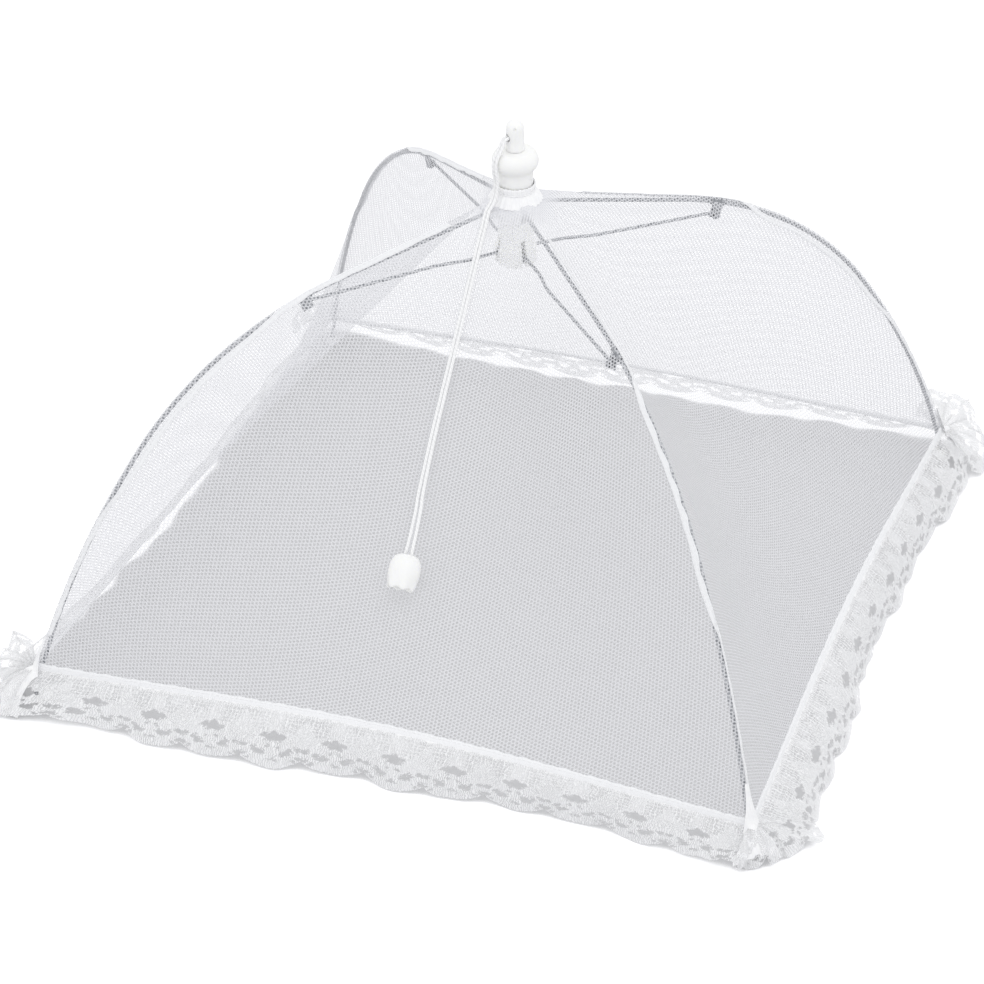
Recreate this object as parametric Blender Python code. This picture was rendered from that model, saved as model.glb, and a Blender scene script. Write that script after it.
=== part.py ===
"""Pop-up net food cover: an umbrella frame of four bent wire ribs under a square tent of net with a lace edge.

Units are metres, +Z is up and the table is at z = 0. The front side faces -Y and the hub stands on the Z axis.
"""

import math

import bmesh
import bpy
from mathutils import Matrix, Vector

for old in list(bpy.data.objects):
    bpy.data.objects.remove(old, do_unlink=True)

# Clearances
GAP = 0.0003
CUT_OVERRUN = 0.002

# The square hem
HEM_SIDE = 0.400
HEM_CORNER_HEIGHT = 0.020
HEM_RISE = 0.011
HEM_DRAW_IN = 0.003

# Wire ribs, in the vertical plane of a diagonal
RIB_RADIUS = 0.0011
RIB_RUN = 0.0975
RIB_SLOPE = math.radians(13.0)
RIB_BEND_RADIUS = 0.197
RIB_BEND = math.radians(41.8)
RIB_FOOT_DEPTH = 0.0014

# Caps on the rib feet
CAP_RADIUS = 0.0032
CAP_LENGTH = 0.0080
CAP_FLAT_RADIUS = 0.0020

# Hub: a stack of pieces above and below the crown's ring
CROWN_RING_HEIGHT = 0.2395
BORE_RADIUS = 0.0024
FINIAL_RADIUS = 0.0049
FINIAL_ABOVE_HOLE = 0.0095
FINIAL_DOME_SHARE = 0.9
FINIAL_SPIGOT_RADIUS = 0.0035
FINIAL_SPIGOT_LENGTH = 0.0050
CORD_HOLE_RADIUS = 0.0025
CORD_HOLE_ABOVE_FOOT = 0.0077
CORD_HOLE_AZIMUTH = math.radians(226.0)
GATE_RADIUS = 0.0007
GATE_DEPTH = 0.0012
GATE_ABOVE_HOLE = 0.0062
GATE_AZIMUTH = math.radians(-72.0)
KNOB_RADIUS = 0.0127
KNOB_UPPER_LENGTH = 0.0058
KNOB_LOWER_LENGTH = 0.0060
NECK_RADIUS = 0.0095
NECK_LENGTH = 0.0122
CROWN_RADIUS = 0.0105
CROWN_ABOVE_RING = 0.0103
CROWN_BELOW_RING = 0.0060
CROWN_SPIGOT_RADIUS = 0.0060
CROWN_SPIGOT_LENGTH = 0.0050
RING_WIRE_RADIUS = 0.0006
CROWN_RING_RADIUS = 0.0075
COLLAR_WALL = 0.0013
COLLAR_PLEAT_DEPTH = 0.0005
COLLAR_HEIGHT = 0.0060
COLLAR_PLEAT_COUNT = 18

# Runner, the sleeve that the struts hinge on
RUNNER_RING_RADIUS = 0.0086
RUNNER_RING_ABOVE_FOOT = 0.0050
RUNNER_FLANGE_RADIUS = 0.0113
RUNNER_FLANGE_HEIGHT = 0.0095
RUNNER_SLEEVE_LENGTH = 0.0167
RUNNER_TOP_RADIUS = 0.0092
RUNNER_WAIST_RADIUS = 0.0102
RUNNER_SLOT_RISE = 0.0105
RUNNER_CORE_RADIUS = 0.0048
RUNNER_RECESS_RADIUS = 0.0036
RUNNER_RECESS_DEPTH = 0.0056
KNOT_RADIUS = 0.0029
KNOT_FLATNESS_SHARE = 0.8

# Struts and their clips on the ribs
STRUT_RADIUS = 0.0009
CLIP_ALONG_RIB = 0.1190
CLIP_DROP = 0.0066
CLIP_WALL = 0.0004
CLIP_LENGTH = 0.0080
CLIP_TAB_LENGTH = 0.0064
CLIP_TAB_WALL = 0.0009
CLIP_TAB_BELOW_PIN = 0.0022
STRUT_JOG_START = 0.018
STRUT_JOG_END = 0.040
PIN_RADIUS = 0.0006
PIN_HEAD_RADIUS = 0.0019
PIN_HEAD_HEIGHT = 0.0008

# Net and its sewn trim
NET_THICKNESS = 0.0006
RIDGE_ROOM = 0.0026
HUB_LIFT = 0.0034
HUB_LIFT_FADE = 6
NET_TOP_DROP = 0.0043
SEAM_HALF_GAP = 0.0002
VALLEY_ROUND_SHARE = 0.5
CASING_NEAR = 0.0065
CASING_FAR = 0.0115
CASING_THICKNESS = 0.0005
CASING_ROOM = 0.0007
CASING_START_SHARE = 0.07
CASING_END_SHARE = 0.965
BINDING_WIDTH = 0.0044
BINDING_THICKNESS = 0.0012

# Lace flounce
LACE_FLARE = 0.020
LACE_THICKNESS = 0.0008
LACE_SCALLOP_COUNT = 13
SCALLOP_SHARE = 0.13
LACE_FOLD_COUNT = 6
LACE_FOLD_DEPTH = 0.0035
CORNER_FOLD_DEPTH = 0.0060
CORNER_FOLD_REACH = 0.045

# Pull cord of two strands, with the middle of its route chosen by hand
STRAND_RADIUS = 0.0009
STRAND_SPACING = 0.0021
STRAND_SPACING_AT_BEAD = 0.0035
STRAND_SPREAD = 0.060
CORD_ROUTE = [
    (-0.0009, -0.0009, 0.2815),
    (-0.0033, -0.0035, 0.2815),
    (-0.0046, -0.0050, 0.2807),
    (-0.0053, -0.0063, 0.2781),
    (-0.0058, -0.0079, 0.2757),
    (-0.0066, -0.0104, 0.2733),
    (-0.0072, -0.0124, 0.2695),
    (-0.0070, -0.0127, 0.2650),
    (-0.0064, -0.0121, 0.2590),
    (-0.0066, -0.0126, 0.2535),
    (-0.0071, -0.0140, 0.2498),
    (-0.0080, -0.0160, 0.2467),
    (-0.0092, -0.0188, 0.2437),
    (-0.0092, -0.0236, 0.2386),
    (-0.0095, -0.0354, 0.2247),
    (-0.0100, -0.0584, 0.1975),
    (-0.0105, -0.0812, 0.1707),
    (-0.0108, -0.0991, 0.1498),
    (-0.0102, -0.1192, 0.1275),
    (-0.0092, -0.1263, 0.1204),
    (-0.0083, -0.1344, 0.1139),
    (-0.0077, -0.1412, 0.1086),
    (-0.0074, -0.1461, 0.1049),
    (-0.0074, -0.1507, 0.0999),
    (-0.0074, -0.1526, 0.0978),
]

# Bead on the end of the cord, lying on the front net
BEAD_RADIUS = 0.0085
BEAD_LENGTH = 0.0190
BEAD_HOLE_RADIUS = 0.0030
BEAD_MOUTH_RADIUS = 0.0058
BEAD_MOUTH_DEPTH = 0.0085
BEAD_KNOT_RADIUS = 0.0040
BEAD_PETAL_COUNT = 6
BEAD_PETAL_SHARE = 0.05
BEAD_PETAL_DROP = 0.0012
BEAD_OUTLINE_SHARES = [
    (0.42, 1.0),
    (0.66, 0.90),
    (0.88, 0.66),
    (0.98, 0.36),
    (1.0, 0.0),
    (0.97, -0.45),
    (0.86, -1.0),
]

# Fineness
RIB_SIDES = 8
ROUND_STEPS = 24
SMALL_STEPS = 12
NET_COLUMN_COUNT = 14
NET_ROW_COUNT = 14
BINDING_COLUMN_COUNT = 14
LACE_STEPS_PER_SCALLOP = 4
LACE_ROW_COUNT = 2
RIB_BEND_STEPS = 8
RIB_LEG_STEPS = 6
LOOP_STEPS = 7
HOLE_STEPS = 16
KNOT_STEPS = 8
RING_SIDES = 6
BEAD_STEPS_PER_PETAL = 6
DOME_STEPS = 5
CAP_STEPS = 4
BULGE_STEPS = 8
SLOPE_STEP_SHARE = 1e-3
MERGE_REACH = 1e-7

# Heights, worked out from the crown's ring up and down
CROWN_FOOT = CROWN_RING_HEIGHT - CROWN_BELOW_RING
NECK_FOOT = CROWN_RING_HEIGHT + CROWN_ABOVE_RING
NECK_TOP = NECK_FOOT + NECK_LENGTH
KNOB_MIDDLE = NECK_TOP + KNOB_LOWER_LENGTH
FINIAL_FOOT = KNOB_MIDDLE + KNOB_UPPER_LENGTH
CORD_HOLE_HEIGHT = FINIAL_FOOT + CORD_HOLE_ABOVE_FOOT
GATE_HEIGHT = CORD_HOLE_HEIGHT + GATE_ABOVE_HOLE
FINIAL_TOP = CORD_HOLE_HEIGHT + FINIAL_ABOVE_HOLE
INNER_CORD_TOP = CORD_HOLE_HEIGHT - 2 * STRAND_RADIUS
COLLAR_FOOT = NECK_FOOT - COLLAR_HEIGHT
NET_TOP_HEIGHT = NECK_FOOT - NET_TOP_DROP
RUNNER_TOP = CROWN_FOOT - GAP
RUNNER_FLANGE_TOP = RUNNER_TOP - RUNNER_SLEEVE_LENGTH
RUNNER_FLANGE_FOOT = RUNNER_FLANGE_TOP - RUNNER_FLANGE_HEIGHT
RUNNER_RING_HEIGHT = RUNNER_FLANGE_FOOT + RUNNER_RING_ABOVE_FOOT
RUNNER_SLOT_TOP = RUNNER_RING_HEIGHT + RUNNER_SLOT_RISE

LEFT_MITRE = Vector((1, -1, 0)).normalized()
RIGHT_MITRE = Vector((1, 1, 0)).normalized()
RECESS_TOP = RUNNER_FLANGE_FOOT + RUNNER_RECESS_DEPTH
HALF_SIDE = HEM_SIDE / 2
HALF_DIAGONAL = HALF_SIDE * math.sqrt(2)
RIDGE_OFFSET = RIB_RADIUS + RIDGE_ROOM
CORNERS = {"front_right": -45, "back_right": 45, "back_left": 135, "front_left": 225}
SIDES = {"front": 0, "right": 90, "back": 180, "left": 270}


def principled(name, colour, roughness, metallic=0.0):
    """A plain material with one Principled BSDF."""
    made = bpy.data.materials.new(name)
    made.use_nodes = True
    shader = made.node_tree.nodes["Principled BSDF"]
    shader.inputs["Base Color"].default_value = (*colour, 1.0)
    shader.inputs["Roughness"].default_value = roughness
    shader.inputs["Metallic"].default_value = metallic
    return made


PLASTIC = principled("white_plastic", (0.93, 0.93, 0.91), 0.32)
STEEL = principled("galvanised_wire", (0.50, 0.51, 0.52), 0.38, 1.0)
NET = principled("net_fabric", (0.90, 0.90, 0.92), 0.85)
LACE = principled("lace_fabric", (0.93, 0.93, 0.94), 0.80)
TAPE = principled("seam_tape", (0.95, 0.95, 0.96), 0.80)
CORD = principled("cord", (0.96, 0.96, 0.97), 0.70)


def object_from(name, shape, material, smooth_angle=math.radians(35)):
    """Turns a bmesh into a named object, shaded smooth up to an angle."""
    bmesh.ops.recalc_face_normals(shape, faces=shape.faces)
    mesh = bpy.data.meshes.new(name)
    shape.to_mesh(mesh)
    shape.free()
    mesh.materials.append(material)
    mesh.shade_smooth()
    mesh.set_sharp_from_angle(angle=smooth_angle)
    made = bpy.data.objects.new(name, mesh)
    bpy.context.scene.collection.objects.link(made)
    return made


def place(made, location=(0, 0, 0), turn=0.0, parent=None):
    """Sets an object by its place, its turn about Z and its parent."""
    made.parent = parent
    made.location = location
    made.rotation_euler = (0, 0, turn)
    return made


def joint_empty(name, location, turn=0.0, parent=None):
    """An empty on a joint's axis, which carries the pieces that turn or slide there."""
    return place(bpy.data.objects.new(name, None), location, turn, parent)


def turned(name, profile, material, steps=ROUND_STEPS):
    """A turned solid from (radius, height) points down its outer side, closed on the axis or round a bore."""
    shape = bmesh.new()
    points = [shape.verts.new((radius, 0, height)) for radius, height in profile]
    bored = min(radius for radius, _ in profile) > 0
    ends = zip(points, points[1:] + points[:1]) if bored else zip(points, points[1:])
    edges = [shape.edges.new(pair) for pair in ends]
    bmesh.ops.spin(
        shape, geom=points + edges, cent=(0, 0, 0), axis=(0, 0, 1), angle=math.tau, steps=steps, use_merge=True
    )
    bmesh.ops.remove_doubles(shape, verts=shape.verts, dist=MERGE_REACH)
    return object_from(name, shape, material)


def box(name, low, high):
    """A box between two corners, for cutting."""
    shape = bmesh.new()
    bmesh.ops.create_cube(shape, size=1.0)
    low, high = Vector(low), Vector(high)
    bmesh.ops.scale(shape, vec=high - low, verts=shape.verts)
    bmesh.ops.translate(shape, vec=(low + high) / 2, verts=shape.verts)
    return object_from(name, shape, PLASTIC)


def rod(name, start, end, radius, steps=SMALL_STEPS):
    """A round rod between two points."""
    start, end = Vector(start), Vector(end)
    shape = bmesh.new()
    bmesh.ops.create_cone(
        shape, cap_ends=True, segments=steps, radius1=radius, radius2=radius, depth=(end - start).length
    )
    turn = (end - start).to_track_quat("Z", "Y").to_matrix().to_4x4()
    bmesh.ops.transform(shape, matrix=Matrix.Translation((start + end) / 2) @ turn, verts=shape.verts)
    return object_from(name, shape, PLASTIC)


def carve(made, tools, operation="DIFFERENCE"):
    """Cuts helpers from an object, or joins them to it, then removes them."""
    for tool in tools:
        tool.hide_render = True
        tool.display_type = "WIRE"
        change = made.modifiers.new(tool.name, "BOOLEAN")
        change.operation = operation
        change.solver = "EXACT"
        change.object = tool
    bpy.context.view_layer.update()
    evaluated = made.evaluated_get(bpy.context.evaluated_depsgraph_get())
    mesh = bpy.data.meshes.new_from_object(evaluated)
    made.modifiers.clear()
    made.data = mesh
    mesh.shade_smooth()
    mesh.set_sharp_from_angle(angle=math.radians(35))
    for tool in tools:
        bpy.data.objects.remove(tool, do_unlink=True)
    return made


def sheet_normals(rows):
    """Unit normals of a grid of points, from the points on either side."""
    last_row, last = len(rows) - 1, len(rows[0]) - 1
    normals = []
    for i, row in enumerate(rows):
        above, below = rows[max(i - 1, 0)], rows[min(i + 1, last_row)]
        normals.append(
            [
                (row[min(j + 1, last)] - row[max(j - 1, 0)]).cross(below[j] - above[j]).normalized()
                for j in range(last + 1)
            ]
        )
    return normals


def closed_sheet(name, rows, thickness, material, mitred=True):
    """A thin closed solid round a grid of points. If mitred, its two ends lie in the diagonals' planes."""
    shape = bmesh.new()
    normals = sheet_normals(rows)
    if mitred:
        for row in normals:
            for end, plane in ((0, LEFT_MITRE), (-1, RIGHT_MITRE)):
                flat = row[end] - plane * plane.dot(row[end])
                row[end] = flat / flat.length_squared
    sides = [
        [
            [shape.verts.new(point + normal * reach) for point, normal in zip(row, normal_row)]
            for row, normal_row in zip(rows, normals)
        ]
        for reach in (thickness / 2, -thickness / 2)
    ]
    for grid in sides:
        for upper, lower in zip(grid, grid[1:]):
            for j in range(len(upper) - 1):
                shape.faces.new((upper[j], upper[j + 1], lower[j + 1], lower[j]))
    front, back = sides
    rims = [
        (front[0], back[0]),
        (front[-1], back[-1]),
        ([row[0] for row in front], [row[0] for row in back]),
        ([row[-1] for row in front], [row[-1] for row in back]),
    ]
    for one, other in rims:
        for j in range(len(one) - 1):
            shape.faces.new((one[j], one[j + 1], other[j + 1], other[j]))
    return object_from(name, shape, material)


def swept(name, points, radius, material, sides=RIB_SIDES):
    """A round wire along points, as a closed mesh. Its rings turn as little as they can."""
    shape = bmesh.new()
    rings = []
    across = None
    for i, point in enumerate(points):
        ahead = (points[min(i + 1, len(points) - 1)] - points[max(i - 1, 0)]).normalized()
        if across is None:
            across = ahead.orthogonal().normalized()
        across = (across - ahead * across.dot(ahead)).normalized()
        other = ahead.cross(across)
        rings.append(
            [
                shape.verts.new(point + (across * math.cos(angle) + other * math.sin(angle)) * radius)
                for angle in (math.tau * k / sides for k in range(sides))
            ]
        )
    for one, two in zip(rings, rings[1:]):
        for k in range(sides):
            shape.faces.new((one[k - 1], one[k], two[k], two[k - 1]))
    shape.faces.new(rings[0])
    shape.faces.new(rings[-1])
    return object_from(name, shape, material, math.radians(60))


def smooth_route(points, step):
    """Points a step apart on a smooth curve through the route's points."""
    route = [Vector(point) for point in points]
    ends = [route[0] * 2 - route[1], *route, route[-1] * 2 - route[-2]]
    dense = []
    for before, start, end, after in zip(ends, ends[1:], ends[2:], ends[3:]):
        pieces = max(int((end - start).length / step) * 4, 4)
        for k in range(pieces):
            t = k / pieces
            dense.append(
                (
                    start * 2
                    + (end - before) * t
                    + (before * 2 - start * 5 + end * 4 - after) * t**2
                    + (start * 3 - before - end * 3 + after) * t**3
                )
                / 2
            )
    dense.append(route[-1])
    lengths = [0.0]
    for one, two in zip(dense, dense[1:]):
        lengths.append(lengths[-1] + (two - one).length)
    count = round(lengths[-1] / step)
    made, at = [], 0
    for k in range(count + 1):
        wanted = lengths[-1] * k / count
        while at < len(lengths) - 2 and lengths[at + 1] < wanted:
            at += 1
        share = (wanted - lengths[at]) / (lengths[at + 1] - lengths[at])
        made.append(dense[at].lerp(dense[at + 1], share))
    return made


def cord_tube(name, points, radius, material):
    """A cord as a curve object with round, capped sides."""
    curve = bpy.data.curves.new(name, "CURVE")
    curve.dimensions = "3D"
    curve.bevel_depth = radius
    curve.bevel_resolution = 2
    curve.use_fill_caps = True
    spline = curve.splines.new("POLY")
    spline.points.add(len(points) - 1)
    for slot, point in zip(spline.points, points):
        slot.co = (*point, 1.0)
    curve.materials.append(material)
    made = bpy.data.objects.new(name, curve)
    bpy.context.scene.collection.objects.link(made)
    return made


# The rib's line, as (distance from the axis, height) in the plane of a diagonal

RIB_LOOP_RADIUS = RING_WIRE_RADIUS + GAP + RIB_RADIUS
STRUT_LOOP_RADIUS = RING_WIRE_RADIUS + GAP + STRUT_RADIUS
LOOP_ANGLE = math.radians(235)


def ahead_of(slope):
    """The way that a rib runs where it slopes down by this angle."""
    return Vector((math.cos(slope), -math.sin(slope)))


def outside_of(slope):
    """The outer side of a rib where it slopes down by this angle."""
    return Vector((math.sin(slope), math.cos(slope)))


RIB_START = Vector((CROWN_RING_RADIUS, CROWN_RING_HEIGHT)) + outside_of(RIB_SLOPE) * RIB_LOOP_RADIUS
BEND_START = RIB_START + ahead_of(RIB_SLOPE) * RIB_RUN
BEND_CENTRE = BEND_START - outside_of(RIB_SLOPE) * RIB_BEND_RADIUS
LEG_SLOPE = RIB_SLOPE + RIB_BEND
LEG_START = BEND_CENTRE + outside_of(LEG_SLOPE) * RIB_BEND_RADIUS
LEG_CHORD = Vector((HALF_DIAGONAL - RIDGE_OFFSET, HEM_CORNER_HEIGHT)) - LEG_START
LEG_TURN = 2 * math.atan2(-LEG_CHORD.dot(outside_of(LEG_SLOPE)), LEG_CHORD.dot(ahead_of(LEG_SLOPE)))
LEG_RADIUS = LEG_CHORD.length_squared / (-2 * LEG_CHORD.dot(outside_of(LEG_SLOPE)))
LEG_CENTRE = LEG_START - outside_of(LEG_SLOPE) * LEG_RADIUS
FOOT_SLOPE = LEG_SLOPE + LEG_TURN
BEND_LENGTH = RIB_BEND_RADIUS * RIB_BEND
LEG_LENGTH = LEG_RADIUS * LEG_TURN
RIB_AT_HEM = RIB_RUN + BEND_LENGTH + LEG_LENGTH
FOOT_LENGTH = (HEM_CORNER_HEIGHT - RIB_FOOT_DEPTH) / math.sin(FOOT_SLOPE)


def rib_at(distance):
    """Where the rib's middle line is at a distance from its start, and its slope there."""
    if distance <= RIB_RUN:
        return RIB_START + ahead_of(RIB_SLOPE) * distance, RIB_SLOPE
    if distance <= RIB_RUN + BEND_LENGTH:
        slope = RIB_SLOPE + (distance - RIB_RUN) / RIB_BEND_RADIUS
        return BEND_CENTRE + outside_of(slope) * RIB_BEND_RADIUS, slope
    slope = LEG_SLOPE + LEG_TURN * min((distance - RIB_RUN - BEND_LENGTH) / LEG_LENGTH, 1.0)
    past_hem = max(distance - RIB_AT_HEM, 0.0)
    return LEG_CENTRE + outside_of(slope) * LEG_RADIUS + ahead_of(slope) * past_hem, slope


def loop_points(centre, start_angle, radius, way):
    """Points of a wire's end loop round a pin, from its free end to where it leaves along the wire."""
    return [
        centre + Vector((math.cos(angle), math.sin(angle))) * radius
        for angle in (start_angle + way * LOOP_ANGLE * (1 - k / LOOP_STEPS) for k in range(LOOP_STEPS))
    ]


# The net's surface, for the front side

CAP_CENTRE_HEIGHT = math.sqrt(CAP_RADIUS**2 - CAP_FLAT_RADIUS**2)
COLLAR_RADIUS = CROWN_RADIUS + GAP + COLLAR_WALL
NET_TOP_RADIUS = COLLAR_RADIUS + GAP + NET_THICKNESS / 2
RIDGE_START = (NET_TOP_RADIUS - RIB_START.x) / math.cos(RIB_SLOPE)
CORNER_RIDGE = rib_at(RIB_AT_HEM)[0] + outside_of(FOOT_SLOPE) * RIDGE_OFFSET
VALLEY_TOP = Vector((0, -NET_TOP_RADIUS, NET_TOP_HEIGHT))
VALLEY_FOOT = Vector((0, HEM_DRAW_IN - HALF_SIDE, CORNER_RIDGE.y + HEM_RISE))


def ridge(share, corner_angle, way):
    """A point of the net over a rib, just to one side of the rib's plane."""
    point, slope = rib_at(RIDGE_START + (RIB_AT_HEM - RIDGE_START) * share)
    point = point + outside_of(slope) * (RIDGE_OFFSET + HUB_LIFT * (1 - share) ** HUB_LIFT_FADE)
    return Matrix.Rotation(corner_angle, 3, "Z") @ Vector((point.x, way * SEAM_HALF_GAP, point.y))


def net_point(across, down):
    """A point of the front net: across runs from the left rib to the right, down from the hub to the hem."""
    left = ridge(down, math.radians(-135), 1)
    right = ridge(down, math.radians(-45), -1)
    valley = VALLEY_TOP.lerp(VALLEY_FOOT, down)
    dip = VALLEY_ROUND_SHARE * math.sin(math.pi * across) ** 2
    dip += (1 - VALLEY_ROUND_SHARE) * (1 - (2 * across - 1) ** 2)
    return left.lerp(right, across) + (valley - (left + right) / 2) * dip


def down_the_net(across):
    """The way down the net at the hem."""
    return (net_point(across, 1.0) - net_point(across, 1 - SLOPE_STEP_SHARE)).normalized()


def below_hem(across, reach):
    """A point this far below the hem line, or above it where reach is negative."""
    return net_point(across, 1.0) + down_the_net(across) * reach


def shares(count):
    """Even steps from 0 to 1."""
    return [k / count for k in range(count + 1)]


NET_GRID = [[net_point(u, v) for u in shares(NET_COLUMN_COUNT)] for v in shares(NET_ROW_COUNT)[:-1]]
NET_GRID.append([below_hem(u, -BINDING_WIDTH / 2 - GAP) for u in shares(NET_COLUMN_COUNT)])


def front_net():
    """The net of the front side, from the collar to the hem binding."""
    return closed_sheet("net_front", NET_GRID, NET_THICKNESS, NET)


def on_net(reach, down):
    """A point on the front net's flat facets, this far from its left edge, and the inward normal there."""
    row = min(int(down * NET_ROW_COUNT), NET_ROW_COUNT - 1)
    upper, lower = NET_GRID[row], NET_GRID[row + 1]
    line = [one.lerp(two, down * NET_ROW_COUNT - row) for one, two in zip(upper, lower)]
    across = reach / (line[-1] - line[0]).length * NET_COLUMN_COUNT
    column = int(across)
    over = line[column + 1] - line[column]
    inward = over.cross(lower[column] - upper[column]).normalized()
    return line[column] + over * (across - column), inward


def front_binding():
    """The tape folded over the front net's lower edge."""
    edges = (-BINDING_WIDTH / 2, BINDING_WIDTH / 2)
    rows = [[below_hem(u, reach) for u in shares(BINDING_COLUMN_COUNT)] for reach in edges]
    return closed_sheet("hem_binding_front", rows, BINDING_THICKNESS, TAPE)


def lace_point(across, down):
    """A point of the front lace flounce, from the binding down to the table."""
    top = below_hem(across, BINDING_WIDTH / 2 + GAP)
    spread = 1 + LACE_FLARE / HALF_SIDE
    foot = Vector((top.x * spread, top.y * spread, LACE_THICKNESS / 2))
    to_corner = min(across, 1 - across) * HEM_SIDE
    depth = LACE_FOLD_DEPTH + CORNER_FOLD_DEPTH * math.exp(-((to_corner / CORNER_FOLD_REACH) ** 2))
    out = depth * down * (1 - math.cos(math.tau * LACE_FOLD_COUNT * across)) / 2
    return top.lerp(foot, down) + Vector((0, -out, 0))


def front_lace():
    """The lace flounce of the front side, with its scallops and main folds."""
    columns = shares(LACE_SCALLOP_COUNT * LACE_STEPS_PER_SCALLOP)
    rows = []
    for row in shares(LACE_ROW_COUNT):
        reach = [1 - SCALLOP_SHARE * (1 - abs(math.sin(math.pi * LACE_SCALLOP_COUNT * u))) for u in columns]
        rows.append([lace_point(u, row * r) for u, r in zip(columns, reach)])
    return closed_sheet("lace_front", rows, LACE_THICKNESS, LACE)


def rib_casing():
    """The sewn tunnel beside a rib, under the net, in the rib's plane."""
    to_diagonal = Matrix.Rotation(math.radians(135), 3, "Z")
    under = NET_THICKNESS / 2 + CASING_ROOM + CASING_THICKNESS / 2
    rows = []
    for down in [CASING_START_SHARE, *shares(NET_ROW_COUNT)[1:-1], CASING_END_SHARE]:
        edges = [on_net(reach, down) for reach in (CASING_NEAR, CASING_FAR)]
        rows.append([to_diagonal @ (point + inward * under) for point, inward in edges])
    return closed_sheet("rib_casing", rows, CASING_THICKNESS, TAPE, mitred=False)


def in_plane(point, side=0.0):
    """A point of the rib's plane, moved sideways, in space."""
    return Vector((point.x, side, point.y))


def rib_wire():
    """One rib, from its loop round the crown ring to its foot."""
    pivot = Vector((CROWN_RING_RADIUS, CROWN_RING_HEIGHT))
    line = loop_points(pivot, math.pi / 2 - RIB_SLOPE, RIB_LOOP_RADIUS, 1)
    stops = [0.0, RIB_RUN / 2]
    stops += [RIB_RUN + BEND_LENGTH * share for share in shares(RIB_BEND_STEPS)]
    stops += [RIB_RUN + BEND_LENGTH + LEG_LENGTH * share for share in shares(RIB_LEG_STEPS)[1:]]
    stops.append(RIB_AT_HEM + FOOT_LENGTH)
    line += [rib_at(stop)[0] for stop in stops]
    return swept("rib", [in_plane(point) for point in line], RIB_RADIUS, STEEL)


def foot_cap():
    """The plastic cap on a rib's foot, flat where it stands on the table."""
    foot, slope = rib_at(RIB_AT_HEM + FOOT_LENGTH)
    up_the_rib = -ahead_of(slope)
    centre = foot + up_the_rib * ((CAP_CENTRE_HEIGHT - foot.y) / up_the_rib.y)
    neck = CAP_LENGTH - CAP_RADIUS
    round_part = [
        (CAP_RADIUS * math.sin(angle), -CAP_RADIUS * math.cos(angle))
        for angle in (math.pi / 2 * (1 - share) for share in shares(CAP_STEPS))
    ]
    mouth = RIB_RADIUS + 2 * GAP
    profile = [(0, neck), (mouth + GAP, neck), *round_part[:-1], (0, -CAP_RADIUS)]
    made = turned("foot_cap", profile, PLASTIC, SMALL_STEPS)
    lean = Vector((up_the_rib.x, 0, up_the_rib.y)).to_track_quat("Z", "Y").to_matrix().to_4x4()
    made.data.transform(Matrix.Translation(in_plane(centre)) @ lean)
    table = box(
        "table_cut",
        (centre.x - 2 * CAP_LENGTH, -2 * CAP_LENGTH, -2 * CAP_LENGTH),
        (centre.x + 2 * CAP_LENGTH, 2 * CAP_LENGTH, 0),
    )
    seat = foot - ahead_of(slope) * -GAP
    hole = rod("rib_seat", in_plane(seat), in_plane(centre + up_the_rib * 2 * CAP_LENGTH), RIB_RADIUS + GAP)
    return carve(made, [table, hole])


# The strut's pivots in the plane of a diagonal

CLIP_POINT, CLIP_SLOPE = rib_at(CLIP_ALONG_RIB)
PIN_POINT = CLIP_POINT - outside_of(CLIP_SLOPE) * CLIP_DROP
RUNNER_PIVOT = Vector((RUNNER_RING_RADIUS, RUNNER_RING_HEIGHT))
CLIP_OUTER_RADIUS = RIB_RADIUS + GAP + CLIP_WALL
STRUT_SIDE = -(CLIP_OUTER_RADIUS + GAP + STRUT_RADIUS)


def rib_clip():
    """The folded metal clip that grips a rib, with the tab that the strut is pinned to."""
    along = in_plane(ahead_of(CLIP_SLOPE))
    middle = in_plane(CLIP_POINT)
    half = along * CLIP_LENGTH / 2
    made = rod("rib_clip", middle - half, middle + half, CLIP_OUTER_RADIUS, HOLE_STEPS)
    drop = CLIP_DROP + CLIP_TAB_BELOW_PIN
    tab = box(
        "clip_tab",
        (-CLIP_TAB_LENGTH / 2, -CLIP_OUTER_RADIUS, -drop),
        (CLIP_TAB_LENGTH / 2, CLIP_TAB_WALL - CLIP_OUTER_RADIUS, 0),
    )
    tab.data.transform(Matrix.Translation(middle) @ Matrix.Rotation(CLIP_SLOPE, 4, "Y"))
    carve(made, [tab], "UNION")
    overrun = along * CUT_OVERRUN
    bore = rod("clip_bore", middle - half - overrun, middle + half + overrun, RIB_RADIUS + GAP, HOLE_STEPS)
    return carve(made, [bore])


def strut_wire():
    """One strut, from its loop round the runner ring to its loop round the clip's pin."""
    reach = PIN_POINT - RUNNER_PIVOT
    lean = math.atan2(reach.y, reach.x)
    up = Vector((-math.sin(lean), math.cos(lean)))
    line = [in_plane(point) for point in loop_points(RUNNER_PIVOT, math.pi / 2 + lean, STRUT_LOOP_RADIUS, 1)]
    for distance, side in ((0, 0), (STRUT_JOG_START, 0), (STRUT_JOG_END, STRUT_SIDE)):
        line.append(in_plane(RUNNER_PIVOT + up * STRUT_LOOP_RADIUS + reach.normalized() * distance, side))
    line.append(in_plane(PIN_POINT + up * STRUT_LOOP_RADIUS, STRUT_SIDE))
    end = loop_points(PIN_POINT, math.pi / 2 + lean, STRUT_LOOP_RADIUS, -1)
    line += [in_plane(point, STRUT_SIDE) for point in reversed(end)]
    return swept("strut", line, STRUT_RADIUS, STEEL)


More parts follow.
